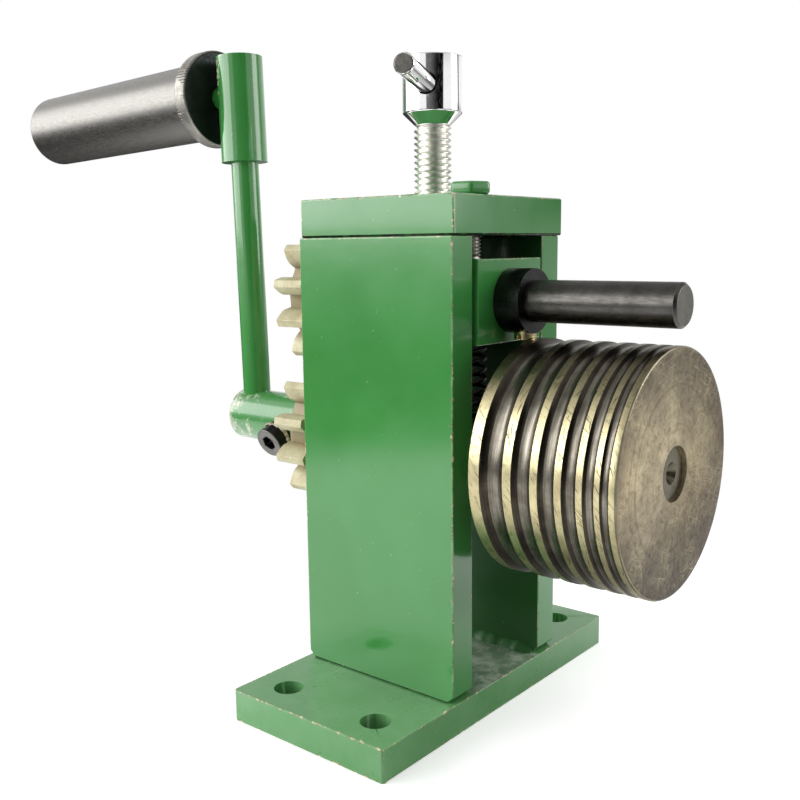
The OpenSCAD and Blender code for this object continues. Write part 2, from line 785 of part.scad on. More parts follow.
module lower_gear() {
    color("wheat") at_lower_axis() gear(lower_teeth, lower_phase_share, lower_tail_d);
}

module lower_gear_key() {
    color("gray") at_lower_axis() gear_key(lower_tail_d, gear_width);
}

module crank_hub() {
    color("mediumseagreen") at_lower_axis() difference() {
        y_rod(hub_d, hub_front, hub_rear);
        y_rod(lower_tail_d, hub_front - overrun, hub_rear + overrun);
        rotate([0, -90 - clamp_angle, 0]) translate([0, clamp_y, 0]) cylinder(d = clamp_screw_d, h = hub_d);
        leaning_arm() translate([0, 0, arm_foot]) cylinder(d = arm_d, h = hub_d);
    }
}

// Moves a piece onto the crank's leaning arm, with Z along the arm and Y along the pin
module leaning_arm() {
    translate([0, arm_y, 0]) rotate([-arm_lean, 0, 0]) children();
}

module clamp_screw() {
    color("dimgray") at_lower_axis() rotate([0, -90 - clamp_angle, 0]) translate([0, clamp_y, 0]) {
        translate([0, 0, hub_d / 2]) socket_head(clamp_head_d, clamp_head_height);
        translate([0, 0, clamp_seat]) cylinder(d = clamp_screw_d, h = hub_d / 2 - clamp_seat);
    }
}

module crank_arm() {
    color("seagreen") at_lower_axis() leaning_arm()
        translate([0, 0, arm_foot]) cylinder(d = arm_d, h = crank_reach - pin_d - arm_foot);
}

module arm_socket() {
    color("mediumseagreen") at_lower_axis() leaning_arm() difference() {
        translate([0, 0, socket_bottom]) cylinder(d = socket_d, h = socket_length);
        translate([0, 0, socket_bottom - overrun])
            cylinder(d = arm_d, h = crank_reach - pin_d - socket_bottom + overrun);
        translate([0, 0, crank_reach]) y_rod(pin_d, 0, socket_d);
    }
}

module grip_pin() {
    color("seagreen") at_lower_axis() leaning_arm() translate([0, 0, crank_reach]) difference() {
        y_rod(pin_d, 0, pin_end);
        y_rod(end_screw_d, pin_end - end_screw_length, pin_end + overrun);
    }
}

module grip_end_washer() {
    color("silver") at_lower_axis() leaning_arm() translate([0, pin_end, crank_reach]) end_washer();
}

module grip_end_screw() {
    color("darkslategray") at_lower_axis() leaning_arm()
        translate([0, pin_end + end_washer_thick, crank_reach]) end_screw();
}

module hand_grip() {
    r = grip_d / 2;
    flange = grip_flange_d / 2;
    edge = grip_flange_width / 10;
    color("gray") at_lower_axis() leaning_arm() translate([0, grip_front, crank_reach])
        rotate([-90, 0, 0]) difference() {
            rotate_extrude() polygon([
                [0, 0], [flange - edge, 0], [flange, edge], [flange, grip_flange_width - edge],
                [flange - edge, grip_flange_width], [r, grip_flange_width], [r, grip_length - 2 * edge],
                [r - 2 * edge, grip_length], [0, grip_length]
            ]);
            translate([0, 0, -overrun])
                cylinder(d = pin_d + 2 * run_clearance, h = grip_length + 2 * overrun);
            translate([0, 0, grip_length - grip_recess_depth - face_clearance])
                cylinder(d = grip_recess_d, h = grip_recess_depth + face_clearance + overrun);
        }
}

base_plate();
left_side_plate();
right_side_plate();
frame_welds();
top_plate();
top_plate_screws();
guide_bolt();
lower_bearing_block();
lower_bush();
return_springs();
upper_bearing_block();
upper_bush();
press_screw();
tommy_bar();
upper_shaft();
front_collar();
collar_screw();
rear_spacer();
upper_gear();
upper_gear_key();
upper_end_washer();
upper_end_screw();
lower_shaft();
grooved_roll();
front_spacer();
lower_rear_spacer();
lower_gear();
lower_gear_key();
crank_hub();
clamp_screw();
crank_arm();
arm_socket();
grip_pin();
grip_end_washer();
grip_end_screw();
hand_grip();
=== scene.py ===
import math
import random

import bmesh
import bpy
from mathutils import Matrix, Vector


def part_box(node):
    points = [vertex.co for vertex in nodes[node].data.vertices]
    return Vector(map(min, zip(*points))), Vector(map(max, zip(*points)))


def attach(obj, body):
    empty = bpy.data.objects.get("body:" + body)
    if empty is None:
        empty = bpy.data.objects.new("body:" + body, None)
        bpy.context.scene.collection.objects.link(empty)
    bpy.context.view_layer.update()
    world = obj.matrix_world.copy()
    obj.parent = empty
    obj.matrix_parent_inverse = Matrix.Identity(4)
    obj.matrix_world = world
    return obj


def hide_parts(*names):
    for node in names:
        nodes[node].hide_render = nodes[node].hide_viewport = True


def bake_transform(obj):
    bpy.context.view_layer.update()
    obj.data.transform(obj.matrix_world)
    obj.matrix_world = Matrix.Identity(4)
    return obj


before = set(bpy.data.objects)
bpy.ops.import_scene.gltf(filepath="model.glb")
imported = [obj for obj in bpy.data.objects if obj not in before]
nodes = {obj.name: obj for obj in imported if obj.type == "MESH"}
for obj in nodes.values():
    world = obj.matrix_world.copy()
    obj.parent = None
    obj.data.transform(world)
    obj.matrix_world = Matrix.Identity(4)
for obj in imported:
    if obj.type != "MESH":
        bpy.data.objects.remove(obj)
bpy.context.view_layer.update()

scene = bpy.context.scene
MM = 0.001


def box_mm(node):
    """The low and the high corner of a CAD node's box, in millimetres."""
    return [[round(c / MM, 3) for c in corner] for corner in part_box(node)]


def middle_mm(node):
    return [(low + high) / 2 for low, high in zip(*box_mm(node))]


# Places that the pieces and materials share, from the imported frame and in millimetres
LOWER_AXIS = middle_mm("lower_bush")[2]
UPPER_AXIS = middle_mm("upper_bush")[2]
BASE_TOP = box_mm("base_plate")[1][2]
TOP_UNDERSIDE, TOP_SURFACE = (corner[2] for corner in box_mm("top_plate"))
INNER_X = box_mm("right_side_plate")[0][0]
SCREW_Y = middle_mm("press_screw")[1]
CLAMP_Y = middle_mm("clamp_screw")[1]
HUB_REAR = box_mm("crank_hub")[1][1]
FLANGE_REAR = box_mm("hand_grip")[0][1] + 8.3
ROLL_R, ROLL_REAR, _ = box_mm("grooved_roll")[1]
# Radii at the roots of the gears' teeth
UPPER_ROOT, LOWER_ROOT = 21, 23

# The clamp screw of the hub points to the left and 24 degrees down
CLAMP_TURN = math.radians(90 + 24)
CLAMP_WAY = Vector((-math.sin(CLAMP_TURN), 0, math.cos(CLAMP_TURN)))


class Tree:
    """Wires shader nodes in one node tree."""

    def __init__(self, tree):
        self.tree = tree

    def node(self, kind, inputs=(), **settings):
        """Makes a node with its inputs by name or number, or in order where a list is given."""
        made = self.tree.nodes.new(kind)
        for key, setting in settings.items():
            setattr(made, key, setting)
        pairs = inputs.items() if isinstance(inputs, dict) else enumerate(inputs)
        for key, item in pairs:
            self.feed(made.inputs[key], item)
        return made

    def feed(self, socket, item):
        if isinstance(item, bpy.types.NodeSocket):
            self.tree.links.new(item, socket)
        elif socket.type == "RGBA":
            socket.default_value = (*item, 1)
        else:
            socket.default_value = item

    def math(self, operation, *items):
        return self.node("ShaderNodeMath", items, operation=operation).outputs[0]

    def times(self, first, *others):
        for other in others:
            first = self.math("MULTIPLY", first, other)
        return first

    def less(self, amount, share=1.0):
        """One less a share of an amount."""
        return self.math("SUBTRACT", 1.0, self.math("MULTIPLY", amount, share))

    def ramp(self, value, low, high, start=0.0, end=1.0):
        """Goes smoothly from start, where the value is low, to end, where it is high."""
        return self.node("ShaderNodeMapRange", (value, low, high, start, end),
                         interpolation_type="SMOOTHSTEP").outputs[0]

    def vector(self, operation, *items):
        return self.node("ShaderNodeVectorMath", items, operation=operation).outputs[0]

    def length(self, item):
        return self.node("ShaderNodeVectorMath", (item,), operation="LENGTH").outputs["Value"]

    def along(self, item, way):
        """How far a vector reaches along a direction."""
        return self.node("ShaderNodeVectorMath", (item, way), operation="DOT_PRODUCT").outputs["Value"]

    def split(self, item):
        return tuple(self.node("ShaderNodeSeparateXYZ", (item,)).outputs)

    def mix(self, factor, first, second):
        """A colour between two others."""
        return self.node("ShaderNodeMix", {0: factor, 6: first, 7: second}, data_type="RGBA").outputs[2]


class Shader(Tree):
    """One material in object space. All its lengths are in millimetres."""

    def __init__(self, name):
        self.material = bpy.data.materials.new(name)
        self.material.use_nodes = True
        super().__init__(self.material.node_tree)
        self.bsdf = self.tree.nodes["Principled BSDF"]
        metres = self.node("ShaderNodeTexCoord").outputs["Object"]
        self.place = self.vector("MULTIPLY", metres, (1 / MM, 1 / MM, 1 / MM))

    def set(self, **inputs):
        for key, item in inputs.items():
            self.feed(self.bsdf.inputs[key.replace("_", " ")], item)

    def noise(self, size, detail=3, rough=0.55, distortion=0, stretch=None):
        """Soft noise around 0.5 with grains of a size; a stretch below 1 makes them longer that way."""
        place = self.place
        if stretch:
            place = self.node("ShaderNodeMapping", {"Vector": place, "Scale": stretch}).outputs[0]
        return self.node("ShaderNodeTexNoise", {
            "Vector": place, "Scale": 1 / size, "Detail": detail, "Roughness": rough,
            "Distortion": distortion}).outputs["Fac"]

    def scratches(self, width, length, turn, low=0.64, high=0.68):
        """Thin marks that run one way, as a share from 0 to 1."""
        spun = self.node("ShaderNodeMapping", {"Vector": self.place, "Rotation": turn}).outputs[0]
        drawn = self.node("ShaderNodeMapping", {
            "Vector": spun, "Scale": (1 / width, 1 / length, 1 / length)}).outputs[0]
        grain = self.node("ShaderNodeTexNoise", {
            "Vector": drawn, "Scale": 1.0, "Detail": 2, "Roughness": 0.5})
        return self.ramp(grain.outputs["Fac"], low, high)

    def bump(self, height, distance, below=None):
        """A normal that is lifted by a distance where the height is one."""
        made = self.node("ShaderNodeBump", {"Height": height, "Distance": distance * MM, "Strength": 1.0})
        if below is not None:
            self.feed(made.inputs["Normal"], below)
        return made.outputs[0]

    def axes(self, centre=(0, 0, 0)):
        """X, Y and Z from a centre."""
        return self.split(self.vector("SUBTRACT", self.place, centre))

    def radius(self, height):
        """Distance from the axis along Y at a height."""
        x, _, z = self.axes((0, 0, height))
        return self.math("SQRT", self.math("ADD", self.times(x, x), self.times(z, z)))

    def edge_gap(self, node):
        """Distance, along a face of a node's box, to the box's nearest edge."""
        low, high = box_mm(node)
        half = [(b - a) / 2 for a, b in zip(low, high)]
        gaps = [self.math("SUBTRACT", reach, self.math("ABSOLUTE", place))
                for reach, place in zip(half, self.axes(middle_mm(node)))]
        return self.math("MAXIMUM", self.math("MINIMUM", gaps[0], gaps[1]),
                         self.math("MINIMUM", self.math("MAXIMUM", gaps[0], gaps[1]), gaps[2]))


def srgb(r, g, b):
    """A linear colour from 0-255 screen values."""
    def one(c):
        c = c / 255
        return c / 12.92 if c <= 0.04045 else ((c + 0.055) / 1.055) ** 2.4
    return one(r), one(g), one(b)


def scaled(colour, share):
    """A colour made darker, or lighter where the share is above one."""
    return tuple(c * share for c in colour)


# The green enamel, what lies on it, and the light and shade painted on it
def edge_wear_and_highlight(s, colour, node, line, chipped):
    """Thin pale lines and chips along the edges of a node's box; the pale lines are partly worn paint and
    partly a painted edge highlight.
    """
    gap = s.edge_gap(node)
    # Painted edge highlight, partly worn paint: pale lines close to the edges
    pale_edge_wear_and_highlight = s.times(s.ramp(gap, 0.2, 0.7, 1, 0), s.ramp(s.noise(9, 3, 0.6), 0.35, 0.6, 0.2, 1))
    colour = s.mix(s.times(pale_edge_wear_and_highlight, line), colour, srgb(176, 214, 160))
    chips = s.math("ADD", s.noise(2.8, 5, 0.72), s.ramp(gap, 0, 2.2, chipped, -0.2))
    colour = s.mix(s.ramp(chips, 0.615, 0.645), colour, srgb(92, 80, 50))
    return s.mix(s.ramp(chips, 0.645, 0.68), colour, srgb(220, 220, 176))


def greasy_dirt_and_light(s, colour, grime_and_light):
    """Pale, streaky dirt on top of the base, between the side plates, lightened as painted light in the
    shade there.
    """
    x, _, z = s.axes()
    within = s.ramp(s.math("ABSOLUTE", x), INNER_X - 1.0, INNER_X + 1.0, grime_and_light, 0)
    within = s.times(within, s.ramp(z, BASE_TOP - 0.6, BASE_TOP - 0.2))
    # Painted light: pale dirt tones that lift the shaded base between the side plates
    shade = s.mix(s.ramp(s.noise(8, 5, 0.7), 0.4, 0.62), srgb(130, 164, 132), srgb(204, 220, 200))
    streaks = s.ramp(s.noise(1.6, 3, 0.6, 0, (1, 0.25, 1)), 0.58, 0.72, 0, 0.6)
    return s.mix(within, colour, s.mix(streaks, shade, srgb(150, 170, 148)))


def rubbed_side(s, colour, centre, way, start, full):
    """Cream flakes on the side of a piece that faces one way."""
    side = s.along(s.vector("SUBTRACT", s.place, centre), way)
    flakes = s.math("ADD", s.noise(2.4, 4, 0.7), s.ramp(side, start, full, -0.2, 0.1))
    return s.mix(s.ramp(flakes, 0.60, 0.66, 0, 0.9), colour, srgb(222, 220, 190))


def worn_end(s, colour, start, end):
    """Paint that is worn off in flakes, more of it from one place along Y to another."""
    near = s.ramp(s.axes()[1], start, end)
    flakes = s.math("ADD", s.noise(4.6, 4, 0.65), s.times(near, 0.22))
    bare = s.mix(s.ramp(s.noise(1.4, 3), 0.4, 0.6), srgb(212, 220, 194), srgb(156, 168, 140))
    return s.mix(s.ramp(flakes, 0.62, 0.76, 0, 0.9), colour, bare)


def enamel(name, rough=(0.13, 0.22), node=None, dust_and_sheen=0.0, grime_and_light=0.0, painted_light_tone=1.0, worn=None, joint=False,
           line=0.5, rubbed=None, chipped=0.10, coat=0.65):
    """Green enamel with orange peel and specks, and the wear, dirt, painted light and painted shade that
    the arguments ask for.
    """
    s = Shader(name)
    # A tone above one is a lit copy of the enamel, below one a shaded copy: painted light and shade
    deep, light = scaled(srgb(60, 140, 64), painted_light_tone), scaled(srgb(68, 148, 72), painted_light_tone)
    colour = s.mix(s.ramp(s.noise(50, 2), 0.35, 0.65), deep, light)
    colour = s.mix(s.ramp(s.noise(1.1, 2, 0.6), 0.73, 0.78, 0, 0.55), colour, srgb(24, 62, 30))
    colour = s.mix(s.ramp(s.noise(1.7, 1, 0.5), 0.77, 0.80, 0, 0.4), colour, srgb(150, 190, 150))
    if dust_and_sheen:
        # Pale layer: partly dust, partly a painted sheen that lightens the part
        layer = s.ramp(s.noise(12, 4, 0.6), 0.3, 0.7, dust_and_sheen * 0.6, dust_and_sheen)
        colour = s.mix(layer, colour, srgb(176, 196, 172))
    if grime_and_light:
        colour = greasy_dirt_and_light(s, colour, grime_and_light)
    if node:
        colour = edge_wear_and_highlight(s, colour, node, line, chipped)
    if joint:
        # Painted shadow: a near-black colour in the joints between the plates
        colour = s.mix(s.ramp(s.noise(4, 3, 0.6), 0.35, 0.6, 0.75, 1.0), colour, srgb(20, 22, 12))
    if rubbed:
        colour = rubbed_side(s, colour, *rubbed)
    if worn:
        colour = worn_end(s, colour, *worn)
    peel = s.bump(s.noise(2.2, 2, 0.5), 0.02)
    waves = s.bump(s.noise(16, 2, 0.5), 0.07, peel)
    s.set(Base_Color=colour, Roughness=s.ramp(s.noise(20, 3), 0.3, 0.7, *rough), Normal=waves, IOR=1.5,
          Specular_IOR_Level=0.1 if joint else 0.5, Coat_Weight=0.0 if joint else coat, Coat_Roughness=0.08)
    return s.material


def torn_paint():
    """The pale skin of paint that tore off round the clamp screw."""
    s = Shader("torn_paint")
    base = s.mix(s.ramp(s.noise(1.5, 4, 0.65), 0.4, 0.62), srgb(224, 208, 190), srgb(150, 140, 120))
    s.set(Base_Color=base, Roughness=s.ramp(s.noise(0.6, 3), 0.3, 0.7, 0.5, 0.7),
          Normal=s.bump(s.noise(0.6, 3), 0.1))
    return s.material


# The metals
def worn_land_shaded_top():
    """Turned lands of the roll: pale gold steel, scratched across, greyer in patches, and darkened near the
    top as a painted dark reflection.
    """
    s = Shader("roll_land")
    patch = s.ramp(s.noise(12, 4, 0.6), 0.35, 0.7)
    colour = s.mix(patch, srgb(206, 196, 154), srgb(182, 170, 134))
    colour = s.mix(s.ramp(s.noise(2.2, 5, 0.7), 0.56, 0.70, 0, 0.5), colour, srgb(120, 106, 80))
    cuts = s.math("MAXIMUM", s.scratches(0.25, 6, (0, 0.5, 0.6)), s.scratches(0.25, 8, (0.9, 0.2, -0.7)))
    colour = s.mix(s.times(cuts, 0.85), colour, srgb(70, 62, 48))
    # Painted dark reflection: the lands darken towards the top of the roll
    top = s.ramp(s.axes()[2], LOWER_AXIS + 23, LOWER_AXIS + 38, 0, 0.78)
    colour = s.mix(top, colour, srgb(66, 62, 48))
    s.set(Base_Color=colour, Metallic=1.0, Roughness=s.ramp(s.noise(4, 5, 0.6), 0.3, 0.7, 0.26, 0.38),
          Normal=s.bump(s.noise(2.4, 4, 0.6), 0.03, s.bump(cuts, -0.04)))
    return s.material


def groove_steel(name, high, low):
    """Groove steel with fine turning lines and darker film in patches."""
    s = Shader(name)
    lines = s.noise(0.7, 3, 0.6, 0, (0.04, 1, 0.04))
    colour = s.mix(s.ramp(s.noise(11, 4, 0.6), 0.35, 0.7), high, low)
    colour = s.mix(s.ramp(lines, 0.42, 0.62, 0, 0.4), colour, scaled(low, 0.4))
    s.set(Base_Color=colour, Metallic=1.0, Roughness=s.ramp(lines, 0.3, 0.7, 0.22, 0.34),
          Normal=s.bump(lines, 0.04))
    return s.material


def face_marks(s):
    """Scratches in all directions across the XZ plane, and curls among them, as a share from 0 to 1."""
    marks = s.scratches(0.4, 10, (0, 0.6, 0))
    for turn, width, length in ((-0.5, 0.3, 12), (1.25, 0.4, 8), (2.2, 0.3, 14), (0.1, 0.5, 9),
                                (-1.1, 0.3, 10), (1.75, 0.3, 12)):
        marks = s.math("MAXIMUM", marks, s.scratches(width, length, (0, turn, 0), 0.62, 0.67))
    swirl = s.noise(5, 3, 0.55, 2.5)
    curls = s.times(s.ramp(swirl, 0.485, 0.5), s.ramp(swirl, 0.5, 0.515, 1, 0))
    return s.math("MAXIMUM", marks, s.times(curls, 0.8))


def roll_face():
    """Front face of the roll: brown film, faint turned rings and scratches in patches, and painted shade
    towards the bottom, the top and the right.
    """
    s = Shader("roll_face")
    x, _, z = s.axes()
    r = s.radius(LOWER_AXIS)
    rings = s.node("ShaderNodeTexNoise", {
        "W": s.times(r, 0.46), "Scale": 1.0, "Detail": 3, "Roughness": 0.6},
        noise_dimensions="1D").outputs["Fac"]
    blotch = s.noise(14, 5, 0.62, 0.4)
    fine = s.noise(2.2, 5, 0.75)
    marks = face_marks(s)
    colour = s.mix(s.ramp(blotch, 0.36, 0.66), srgb(188, 172, 138), srgb(230, 214, 174))
    colour = s.mix(s.ramp(fine, 0.46, 0.70, 0, 0.55), colour, srgb(104, 88, 66))
    colour = s.mix(s.ramp(rings, 0.52, 0.74, 0, 0.35), colour, srgb(96, 82, 62))
    # Darker at the rim; darker towards the bottom, the top and the right as painted shade
    rim = s.ramp(r, ROLL_R - 8, ROLL_R, 0, 0.45)
    painted_shade_low = s.ramp(z, LOWER_AXIS - 41, LOWER_AXIS + 23, 0.96, 0)
    top = s.ramp(z, LOWER_AXIS + 1, LOWER_AXIS + 37, 0, 0.72)
    right = s.ramp(x, -12, 40, 0, 0.74)
    colour = s.mix(rim, colour, srgb(92, 80, 62))
    colour = s.mix(painted_shade_low, colour, srgb(54, 45, 35))
    colour = s.mix(top, colour, srgb(78, 70, 60))
    colour = s.mix(right, colour, srgb(74, 62, 48))
    patches = s.ramp(blotch, 0.42, 0.62, 0.03, 0.34)
    colour = s.mix(s.times(marks, patches), colour, srgb(222, 206, 166))
    s.set(Base_Color=colour, Metallic=0.9, Roughness=s.ramp(fine, 0.3, 0.7, 0.34, 0.5),
          Normal=s.bump(rings, 0.012, s.bump(marks, -0.05, s.bump(fine, 0.06))))
    return s.material


def metal(name, colour, rough, stain=0.25, grain=0.9, stretch=None, depth=0.02, spots=0.4):
    """A plain metal with fine grain, stains and uneven gloss."""
    s = Shader(name)
    base = s.mix(s.ramp(s.noise(6, 4, 0.65), 0.35, 0.7), colour, scaled(colour, 1 - stain))
    fine = s.noise(grain, 3, 0.6, 0, stretch)
    base = s.mix(s.ramp(fine, 0.55, 0.8, 0, spots), base, scaled(colour, 0.6))
    s.set(Base_Color=base, Metallic=1.0, Roughness=s.ramp(fine, 0.3, 0.7, rough * 0.8, rough * 1.25),
          Normal=s.bump(fine, depth))
    return s.material


def cast_gear(name, height, root):
    """Pale cast brass, matt and specked, with painted shade darkening it between the teeth of a gear at a
    height.
    """
    s = Shader(name)
    grain = s.noise(0.9, 5, 0.7)
    colour = s.mix(s.ramp(s.noise(7, 3, 0.6), 0.35, 0.68), srgb(208, 202, 166), srgb(188, 178, 140))
    colour = s.mix(s.ramp(grain, 0.54, 0.70, 0, 0.55), colour, srgb(128, 112, 82))
    # Painted shade: darker towards the roots of the teeth
    uneven = s.times(s.math("SUBTRACT", s.noise(3, 3), 0.5), 4.0)
    deep = s.math("ADD", s.radius(height), uneven)
    colour = s.mix(s.ramp(deep, root, root + 5, 0.6, 0), colour, srgb(120, 100, 62))
    s.set(Base_Color=colour, Metallic=0.1, Roughness=s.ramp(grain, 0.3, 0.7, 0.42, 0.56),
          Normal=s.bump(grain, 0.06))
    return s.material


def flange_rim(name, centre):
    """Grey rim of the grip's flange with short dark tool marks and pale chips."""
    s = Shader(name)
    x, _, z = s.axes(centre)
    teeth = s.math("SINE", s.times(s.math("ARCTAN2", z, x), 96.0))
    patch = s.ramp(s.noise(12, 2), 0.52, 0.60)
    base = s.mix(s.ramp(s.noise(5, 4, 0.65), 0.35, 0.7), srgb(158, 155, 148), srgb(126, 124, 118))
    marks = s.times(s.ramp(teeth, 0.35, 0.8), patch)
    base = s.mix(s.times(marks, 0.7), base, srgb(58, 58, 56))
    chips = s.ramp(s.noise(1.9, 3, 0.6), 0.66, 0.70)
    base = s.mix(chips, base, srgb(226, 222, 206))
    s.set(Base_Color=base, Metallic=s.ramp(chips, 0, 1, 0.9, 0),
          Roughness=s.ramp(s.noise(0.6, 3), 0.3, 0.7, 0.36, 0.5), Normal=s.bump(marks, -0.15))
    return s.material


GREEN = enamel("green_enamel")
GREEN_JOINT_SHADOW = enamel("green_enamel_joint_shadow", joint=True)
# The plates' inner faces: a darker copy of the green enamel, painted shade
GREEN_INNER_SHADED = enamel("green_enamel_inner_shaded", rough=(0.3, 0.45), painted_light_tone=0.42)
# The welds in the cavity: a darker copy of the green enamel, painted shade
GREEN_WELD_SHADED = enamel("green_enamel_weld_shaded", rough=(0.45, 0.6), painted_light_tone=0.6, coat=0.1)
# The base's enamel is a lighter copy, painted light, with a pale layer that is partly dust and partly
# painted sheen
GREEN_BASE_LIT = enamel("green_enamel_base_lit", rough=(0.24, 0.34), dust_and_sheen=0.24, painted_light_tone=1.12, grime_and_light=1.0,
                    node="base_plate", line=0.35, chipped=0.12)
GREEN_TOP = enamel("green_enamel_top", node="top_plate", line=0.9, chipped=0.13)
GREEN_LEFT = enamel("green_enamel_left", node="left_side_plate", line=0.8)
GREEN_RIGHT = enamel("green_enamel_right", node="right_side_plate", line=0.8)
GREEN_BLOCK = enamel("green_enamel_block", node="upper_bearing_block")
# The hub's pale layer is partly dust, partly painted sheen
GREEN_HUB = enamel("green_enamel_hub", rough=(0.2, 0.3), dust_and_sheen=0.08, worn=(HUB_REAR - 22, HUB_REAR))
GREEN_SOCKET = enamel("green_enamel_socket", node="arm_socket", line=0.7,
                      rubbed=(middle_mm("arm_socket"), (-0.66, 0.66, 0.12), 7.5, 10.5))
PAINT_SKIN = torn_paint()
LAND = worn_land_shaded_top()
GROOVE = groove_steel("roll_groove", srgb(136, 131, 120), srgb(100, 94, 84))
# A darker copy of the groove steel for the grooves' walls: painted shade
GROOVE_WALL_SHADED = groove_steel("roll_groove_wall_shaded", srgb(84, 78, 68), srgb(56, 52, 45))
FACE = roll_face()
RIM = metal("roll_rim", srgb(138, 130, 110), 0.36, 0.3)
CHROME = metal("chrome_plate", srgb(236, 236, 236), 0.05, 0.05, 0.6, depth=0.002)
THREAD = metal("screw_thread", srgb(250, 248, 240), 0.34, 0.2)
HOLE = metal("screw_cross_hole", srgb(60, 56, 52), 0.4, 0.3)
BAR_END = metal("bar_end_face", srgb(128, 126, 120), 0.5, 0.5, 0.8, spots=0.8)
BLACK = metal("black_oxide", srgb(54, 55, 54), 0.32, 0.3, 0.7)
BLACK_RIM = metal("black_oxide_rubbed", srgb(118, 116, 112), 0.36, 0.3, 0.7)
SHAFT = metal("shaft_oxide", srgb(88, 86, 83), 0.33, 0.3, 0.7, (1, 0.2, 1))
# A lighter copy of the shaft steel for its front end face: painted reflection
SHAFT_FACE_LIT = metal("shaft_front_face_lit", srgb(120, 117, 110), 0.36, 0.3)
SHAFT_END = metal("shaft_end_steel", srgb(120, 114, 96), 0.3, 0.4, 0.8)
STEEL = metal("turned_steel", srgb(176, 174, 166), 0.28, 0.25, 0.7)
# Spring wire darkened as painted shade of the cavity between the blocks
SPRING = metal("spring_wire", srgb(64, 64, 62), 0.3, 0.3)
ZINC = metal("yellow_zinc", srgb(214, 200, 150), 0.25, 0.2)
BRONZE = metal("bearing_bronze", srgb(168, 126, 70), 0.35, 0.3)
UPPER_GEAR = cast_gear("upper_gear_cast", UPPER_AXIS, UPPER_ROOT)
LOWER_GEAR = cast_gear("lower_gear_cast", LOWER_AXIS, LOWER_ROOT)
GRIP = metal("grip_lacquer", srgb(130, 128, 124), 0.37, 0.03, 0.5, (1, 0.3, 1), 0.001, 0.02)
GRIP_FACE = metal("grip_flange_face", srgb(48, 54, 52), 0.5, 0.3)
GRIP_RIM = flange_rim("grip_flange_rim", middle_mm("hand_grip"))


# How pieces are made
def finished(name, bm, body, materials, *replaced, sharp=32):
    """Turns a bmesh into a piece that rides on a body and stands for CAD nodes."""
    mesh = bpy.data.meshes.new(name)
    bm.to_mesh(mesh)
    bm.free()
    for material in materials:
        mesh.materials.append(material)
    mesh.polygons.foreach_set("use_smooth", [True] * len(mesh.polygons))
    mesh.set_sharp_from_angle(angle=math.radians(sharp))
    piece = bpy.data.objects.new(name, mesh)
    scene.collection.objects.link(piece)
    if replaced:
        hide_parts(*replaced)
    if body:
        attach(piece, body)
    return piece


def dressed(node, body, materials, width, segments=3, choose=None, long=0.0):
    """A copy of a CAD node's mesh with its edges rounded, its straight long ones by their own width.

    Rounded edges get material slot 1; choose(centre, normal, slot) then gives a face's slot.
    """
    weld, crease, long_edge = 0.003, math.radians(28), 3.0
    bm = bmesh.new()
    bm.from_mesh(nodes[node].data)
    bmesh.ops.remove_doubles(bm, verts=bm.verts, dist=weld * MM)
    bmesh.ops.dissolve_limit(bm, angle_limit=math.radians(0.3), verts=bm.verts, edges=bm.edges)
    for face in bm.faces:
        face.material_index = 0
    slot = 1 if len(materials) > 1 else 0
    for size, least, clamp in ((long, long_edge, False), (width, 0, True)):
        if size:
            edges = [edge for edge in bm.edges
                     if len(edge.link_faces) == 2 and edge.calc_face_angle(0) > crease
                     and edge.calc_length() > least * MM]
            bmesh.ops.bevel(bm, geom=edges, offset=size * MM, segments=segments, profile=0.5,
                            affect="EDGES", clamp_overlap=clamp, material=slot)
    if choose:
        for face in bm.faces:
            face.material_index = choose(face.calc_center_median() / MM, face.normal, face.material_index)
    piece = finished(node + "_dressed", bm, body, materials, node, sharp=50)
    piece.modifiers.new("even_normals", "WEIGHTED_NORMAL").keep_sharp = True
    return piece


def circle(count):
    """Evenly spaced angles of one full turn."""
    return [2 * math.pi * k / count for k in range(count)]


def skin(bm, rings, slots=0, loop=False, capped=True):
    """Joins rings of vertices by faces; slots is one material slot, or one for each step."""
    steps = list(zip(rings, rings[1:] + rings[:1] if loop else rings[1:]))
    if isinstance(slots, int):
        slots = [slots] * len(steps)
    for (low, high), slot in zip(steps, slots):
        for k in range(max(len(low), len(high))):
            corners = (low[k % len(low)], low[(k + 1) % len(low)],
                       high[(k + 1) % len(high)], high[k % len(high)])
            bm.faces.new(tuple(dict.fromkeys(corners))).material_index = slot
    if capped:
        bm.faces.new(rings[0][::-1]).material_index = slots[0]
        bm.faces.new(rings[-1]).material_index = slots[-1]


def turned(line, place, segments, slots=0, loop=False):
    """A bmesh turned about Z from a line of (radius, height) points in millimetres."""
    bm = bmesh.new()
    rings = [[bm.verts.new((r * math.cos(a) * MM, r * math.sin(a) * MM, h * MM))
              for a in (circle(segments) if r else [0])] for r, h in line]
    skin(bm, rings, slots, loop, capped=False)
    bmesh.ops.recalc_face_normals(bm, faces=bm.faces)
    bmesh.ops.transform(bm, matrix=place, verts=bm.verts)
    return bm


def thread(bm, d, pitch, low, high, centre, depth=0.6, segments=64, per_turn=10, slot=0):
    """Adds a rod with a helical thread, closed at both ends; sizes in millimetres."""
    taper, crest, flank = 1.2, 0.12, 0.74
    steps = max(4, round((high - low) / pitch * per_turn))
    rings = []
    for i in range(steps + 1):
        z = low + (high - low) * i / steps
        end = max(0, min(1, (z - low) / taper, (high - z) / taper))
        ring = []
        for k, a in enumerate(circle(segments)):
            phase = (z / pitch - k / segments) % 1
            wave = min(1, max(0, (abs(phase - 0.5) * 2 - crest) / flank))
            r = d / 2 - pitch * depth * (1 - (1 - wave) * end)
            place = Vector((centre[0] + r * math.cos(a), centre[1] + r * math.sin(a), z))
            ring.append(bm.verts.new(place * MM))
        rings.append(ring)
    skin(bm, rings, slot)


